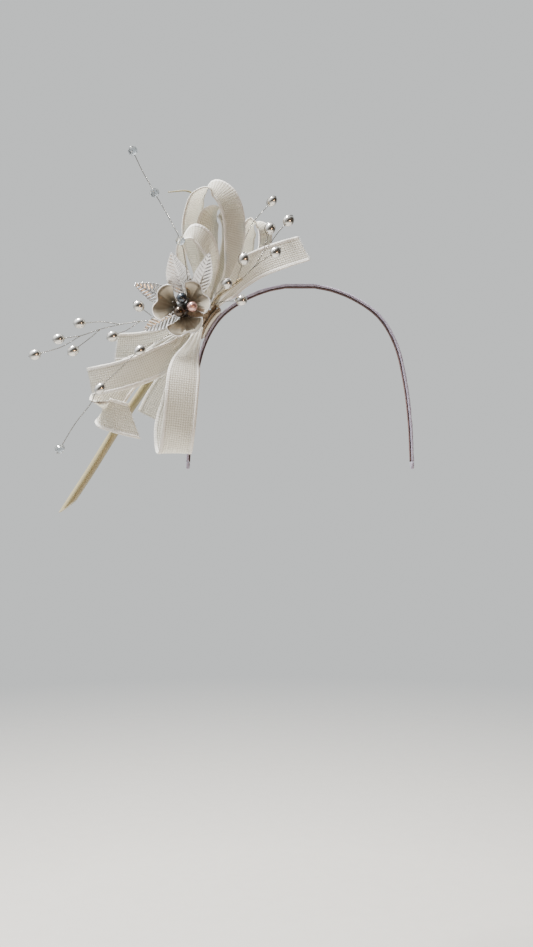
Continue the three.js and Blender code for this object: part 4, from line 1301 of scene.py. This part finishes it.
def bead_way(branch, index):
    """The direction in which the wire runs through a bead."""
    after = branch[index + 1] if index + 1 < len(branch) else branch[index]
    return unit(place_of(after) - place_of(branch[index - 1]))


def crystal(centre, radius, axis):
    """A bicone-like cut bead: a belt of facets with two crowns, drilled along its axis."""
    axis = unit(axis)
    one = unit(np.cross(axis, (0, 0, 1) if abs(axis[2]) < 0.9 else (1, 0, 0)))
    two = np.cross(axis, one)
    sides = 8
    rings = []
    for height, across, twist in ((-0.86, 0.28, 0), (-0.72, 0.62, 0.5), (-0.3, 0.97, 0),
                                  (0.3, 0.97, 0.5), (0.72, 0.62, 0), (0.86, 0.28, 0.5)):
        turns = 2 * np.pi * (np.arange(sides) + twist) / sides
        spread = radius * across * (np.outer(np.cos(turns), one) + np.outer(np.sin(turns), two))
        rings.append(centre + axis * radius * height + spread)
    verts = np.concatenate(rings)
    faces = []
    for r in range(len(rings) - 1):
        shift = 1 if r % 2 else 0
        for s in range(sides):
            a, b = r * sides + s, r * sides + (s + 1) % sides
            c, d = (r + 1) * sides + (s + shift) % sides, (r + 1) * sides + (s + 1 + shift) % sides
            if shift:
                c, d = (r + 1) * sides + s, (r + 1) * sides + (s + 1) % sides
                faces += [(a, b, d), (a, d, c)]
            else:
                faces += [(a, b, c), (b, d, c)]
    faces.append(tuple(reversed(range(sides))))
    faces.append(tuple(range((len(rings) - 1) * sides, len(rings) * sides)))
    return verts, faces


STRAND = 0.2         # radius of one strand
TWIST_PITCH = 2.6    # length of one full twist of the pair
STRAND_APART = 0.21  # from the middle of the pair to the middle of a strand
STEM_ROUTE = [(-70, -26, -18), (-63, -32, -11), (-50, -41, -3), (-45, -43, 0.5)]
COLLAR_RADIUS = 1.25
COLLAR_WIRE = 0.2
BEAD_SIDES, BEAD_ROWS = 32, 22


def twisted_pair(points):
    """Two strands wound round each other along a line of points."""
    route = Route(points, 300)
    count = max(int(route.length / (TWIST_PITCH / 9)), 8)
    shares = np.linspace(0, 1, count)
    line = route.at(shares)
    one, two = transported(line)
    parts = []
    for strand in (0, math.pi):
        turn = 2 * np.pi * shares * route.length / TWIST_PITCH + strand
        path = line + STRAND_APART * (np.cos(turn)[:, None] * one + np.sin(turn)[:, None] * two)
        parts.append(rings_mesh(tube(path, STRAND, 5)))
    return parts


def bead_loop(centre, way, radius, stretch, toward):
    """The strand that comes back over the outside of a bead after passing through its hole."""
    way = unit(way)
    side = unit(np.cross(way, toward))
    turns = np.linspace(-math.pi / 2, math.pi / 2, 16)
    across = radius + STRAND * 0.9
    height = radius * stretch + STRAND * 0.9
    points = [centre + way * height * math.sin(t) + side * across * math.cos(t) for t in turns]
    knot = centre + way * (radius * stretch + 0.45)
    through = [knot, centre + way * radius * 0.5]
    return [rings_mesh(tube(points, STRAND, 5)), rings_mesh(tube(through, STRAND * 1.3, 6))]


def branch_wire(branch):
    """The twisted pair between beads, and the strands that hold each bead."""
    parts, stretch_points = [], []
    for index, item in enumerate(branch):
        if not isinstance(item[0], str):
            stretch_points.append(np.array(item, float))
            continue
        radius, stretch = bead_size(item[1])
        centre, way = place_of(item), bead_way(branch, index)
        half = radius * stretch
        stretch_points.append(centre - way * (half + 1.2))
        stretch_points.append(centre - way * (half - 0.3))
        parts += twisted_pair(stretch_points)
        parts += bead_loop(centre, way, radius, stretch, (0.3, 0.2, 1.0))
        stretch_points = [centre + way * (half - 0.3), centre + way * (half + 1.2)]
    if len(stretch_points) > 2:
        parts += twisted_pair(stretch_points)
    return parts


def wound_collar(points, radius, turns, wire):
    """Fine wire wound in open turns round a stem."""
    route = Route(points, 200)
    count = turns * 14
    shares = np.linspace(0, 1, count)
    line = route.at(shares)
    one, two = transported(line)
    turn = 2 * np.pi * turns * shares
    path = line + radius * (np.cos(turn)[:, None] * one + np.sin(turn)[:, None] * two)
    return rings_mesh(tube(path, wire, 5))


class FASCINATOR_OT_sprays(bpy.types.Operator):
    """Makes the twisted wire sprays with their pearls, drops and crystals"""
    bl_idname = "fascinator.sprays"
    bl_label = "Bead sprays"

    def execute(self, context):
        for name, (body, branches) in SPRAYS.items():
            parts = []
            for branch in branches:
                parts += branch_wire(branch)
                for index, item in enumerate(branch):
                    if isinstance(item[0], str):
                        self.add_bead(item, bead_way(branch, index), body)
            verts, faces = joined(parts)
            piece = make_object(f"{name}_pair", verts, faces, None, ("wire",))
            finish_piece(piece, body, (name,))
        turns = context.scene.fascinator.turns_of_collar
        verts, faces = wound_collar(STEM_ROUTE, COLLAR_RADIUS, turns, COLLAR_WIRE)
        collar = make_object("stem_collar", verts, faces, None, ("gilt_wire",))
        finish_piece(collar, "spray_right")
        return {"FINISHED"}

    def add_bead(self, item, way, body):
        """One pearl, drop or crystal, drilled along the wire."""
        name, kind, place = item
        radius, stretch = bead_size(kind)
        if kind == "crystal":
            verts, faces = crystal(np.array(place, float), radius, way)
            piece = make_object(f"{name}_cut", verts, faces, None, ("crystal",), None, False)
            finish_piece(piece, body, (name,))
            return
        verts, faces = ball(np.array(place, float), radius, way, BEAD_SIDES, BEAD_ROWS,
                            stretch, BEAD_HOLE)
        piece = make_object(f"{name}_lustre", verts, faces, None, ("pearl",))
        finish_piece(piece, body, (name,))


# ---- Stage -----------------------------------------------------------------------------------------

def studio_light(strength):
    """Soft light from all round: pale walls, a bright upper left and a dim room in front."""
    world = bpy.data.worlds.new("studio")
    world.use_nodes = True
    tree = world.node_tree
    way = add_node(tree, "ShaderNodeTexCoord").outputs["Generated"]

    def facing(direction):
        """How far the light comes from one direction, from -1 to 1."""
        return add_node(tree, "ShaderNodeVectorMath", dict(operation="DOT_PRODUCT"),
                        i0=way, i1=direction).outputs["Value"]

    glow = maths(tree, "POWER", maths(tree, "MAXIMUM", facing((-0.5, -0.05, 0.86)), 0.0), 4.0)
    front = maths(tree, "ADD", facing((0.62, -0.72, -0.32)), 0.3, True)
    dim = maths(tree, "MULTIPLY", front, 1.4, True)
    low = maths(tree, "MULTIPLY", facing((0.0, 0.0, -1.0)), 0.5, True)
    colour = mix_colour(tree, low, linear("#C3C6C7"), linear("#BDB5AB"))
    colour = mix_colour(tree, dim, colour, linear("#36332F"))
    colour = mix_colour(tree, glow, colour, [3.4, 3.45, 3.5, 1.0])
    # The wall itself looks evenly pale; the dim and bright parts only light the object.
    seen = add_node(tree, "ShaderNodeLightPath").outputs["Is Camera Ray"]
    colour = mix_colour(tree, seen, colour, linear("#DFE2E2"))
    back = tree.nodes["Background"]
    tree.links.new(colour, back.inputs["Color"])
    back.inputs["Strength"].default_value = strength
    return world


FLOOR_DROP = 400       # from the lowest point of the fascinator to the floor
FLOOR_RADIUS = 1600
LAMPS = {
    "key": dict(place=(-0.6, -0.1, 1.3), target=(-0.08, 0, 0), size=0.4, colour="#FFFEFB"),
    "warm": dict(place=(0.7, -1.2, -0.25), target=(-0.07, 0, 0), size=0.2, colour="#FFC890"),
}
WARM_POWER = 4.0
# Level with the tips of the band and 0.9 m in front of it, so the crown is seen from below.
CAMERA_PLACE = (-0.0268, -0.9, -0.1484)
CAMERA_LENS = 42.77


class FASCINATOR_OT_stage(bpy.types.Operator):
    """Sets the pale floor, the soft studio light and the camera"""
    bl_idname = "fascinator.stage"
    bl_label = "Studio"

    def execute(self, context):
        scene = context.scene
        studio = scene.fascinator
        floor_level = CAD_BOX[0][2] / MM - FLOOR_DROP
        turns = 2 * np.pi * np.arange(64) / 64
        verts = [(FLOOR_RADIUS * math.cos(t), FLOOR_RADIUS * math.sin(t), floor_level) for t in turns]
        floor = make_object("floor", verts, [tuple(range(len(verts)))], None, ("floor",))
        scene.world = studio_light(studio.fill_light)
        self.lamp("key", power=studio.key_light, **LAMPS["key"])
        self.lamp("warm", power=WARM_POWER, **LAMPS["warm"])
        self.camera(scene)
        return {"FINISHED"}

    def lamp(self, name, place, target, size, power, colour):
        """A round soft lamp at a place, aimed at the target."""
        data = bpy.data.lights.new(name, "AREA")
        data.shape = "DISK"
        data.size = size
        data.energy = power
        data.color = linear(colour)[:3]
        made = bpy.data.objects.new(name, data)
        made.location = place
        made.rotation_euler = (Vector(target) - Vector(place)).to_track_quat("-Z", "Y").to_euler()
        bpy.context.scene.collection.objects.link(made)

    def camera(self, scene):
        """A level camera in front of the band."""
        data = bpy.data.cameras.new("camera")
        data.sensor_width = 36
        data.lens = CAMERA_LENS
        made = bpy.data.objects.new("camera", data)
        made.location = CAMERA_PLACE
        made.rotation_euler = (math.pi / 2, 0, 0)
        scene.collection.objects.link(made)
        scene.camera = made


# ---- Add-on frame ----------------------------------------------------------------------------------

def colour_setting(name, description, code):
    """A colour that can be changed, with its default as a hex code."""
    return FloatVectorProperty(name=name, description=description, subtype="COLOR", size=4,
                               min=0.0, max=1.0, default=linear(code))


def length_setting(name, description, size_mm, most_mm):
    """A length that can be changed, given in millimetres and kept in metres."""
    return FloatProperty(name=name, description=description, subtype="DISTANCE", unit="LENGTH",
                         precision=5, min=0.1 * MM, max=most_mm * MM, default=size_mm * MM)


class FascinatorSettings(bpy.types.PropertyGroup):
    """Sizes, colours and light that can be changed"""
    thread_pitch: length_setting("Thread pitch", "Spacing of the straw threads as drawn", 1.8, 4.0)
    turned_edge: length_setting("Turned edge", "Width of the hem along each straw strip", 2.6, 5.0)
    pearl_radius: length_setting("Pearl radius", "Radius of the round pearls across the wire", 4.2, 6.0)
    drop_radius: length_setting("Drop radius", "Radius of the drop pearls across the wire", 3.7, 6.0)
    crystal_radius: length_setting("Crystal radius", "Radius of the cut crystals", 3.7, 6.0)
    centre_radius: length_setting("Centre bead radius", "Radius of the flower's three beads", 4.1, 6.0)
    quill_radius: length_setting("Quill radius", "Radius of the quill's barrel", 3.5, 5.0)
    turns_of_collar: IntProperty(name="Collar turns", description="Turns of gilt wire on the stem",
                                 default=26, min=4, max=60)
    straw_colour: colour_setting("Straw", "Straw thread on its upper side", "#FCFBF7")
    # Painted shade: the colour mixed into the weave's low places, standing in for shade between the threads.
    straw_painted_shade: colour_setting("Straw shade", "Straw thread down in the weave", "#B5AB97")
    satin_colour: colour_setting("Satin", "Satin ribbon where it catches the light", "#C3BCD0")
    quill_colour: colour_setting("Quill", "Paler grain of the feather shaft", "#BFB58E")
    petal_colour: colour_setting("Petals", "Smoky film half way out", "#BDB199")
    pearl_colour: colour_setting("Pearls", "Paler clouds in the white pearls", "#F6F4F0")
    grey_bead: colour_setting("Grey bead", "Paler clouds in the grey bead", "#5E6874")
    bronze_bead: colour_setting("Bronze bead", "Paler clouds in the bronze bead", "#58432D")
    rose_bead: colour_setting("Rose bead", "Paler clouds in the rose bead", "#F4D0C8")
    fill_light: FloatProperty(name="Fill light", description="Strength of the light from all round",
                              default=1.0, min=0.0, max=3.0)
    key_light: FloatProperty(name="Key light", description="Power of the lamp above the trim",
                             unit="POWER", default=78.0, min=0.0, max=200.0)


class FASCINATOR_PT_panel(bpy.types.Panel):
    """Lists what the fascinator is made of"""
    bl_idname = "FASCINATOR_PT_panel"
    bl_label = "Fascinator"
    bl_space_type = "VIEW_3D"
    bl_region_type = "UI"
    bl_category = "Fascinator"

    def draw(self, context):
        settings = context.scene.fascinator
        for key in FascinatorSettings.__annotations__:
            self.layout.prop(settings, key)
        for operator in OPERATORS:
            self.layout.operator(operator.bl_idname)


OPERATORS = (FASCINATOR_OT_stage, FASCINATOR_OT_band, FASCINATOR_OT_base, FASCINATOR_OT_strips,
             FASCINATOR_OT_quill, FASCINATOR_OT_flower, FASCINATOR_OT_sprays)
CLASSES = (FascinatorSettings, *OPERATORS, FASCINATOR_PT_panel)


def register():
    for kind in CLASSES:
        bpy.utils.register_class(kind)
    bpy.types.Scene.fascinator = PointerProperty(type=FascinatorSettings)


def unregister():
    del bpy.types.Scene.fascinator
    for kind in reversed(CLASSES):
        bpy.utils.unregister_class(kind)


def main():
    """Makes the fascinator from the stage up."""
    register()
    bpy.ops.fascinator.stage()
    bpy.ops.fascinator.band()
    bpy.ops.fascinator.base()
    bpy.ops.fascinator.strips()
    bpy.ops.fascinator.quill()
    bpy.ops.fascinator.flower()
    bpy.ops.fascinator.sprays()


if __name__ == "__main__":
    main()
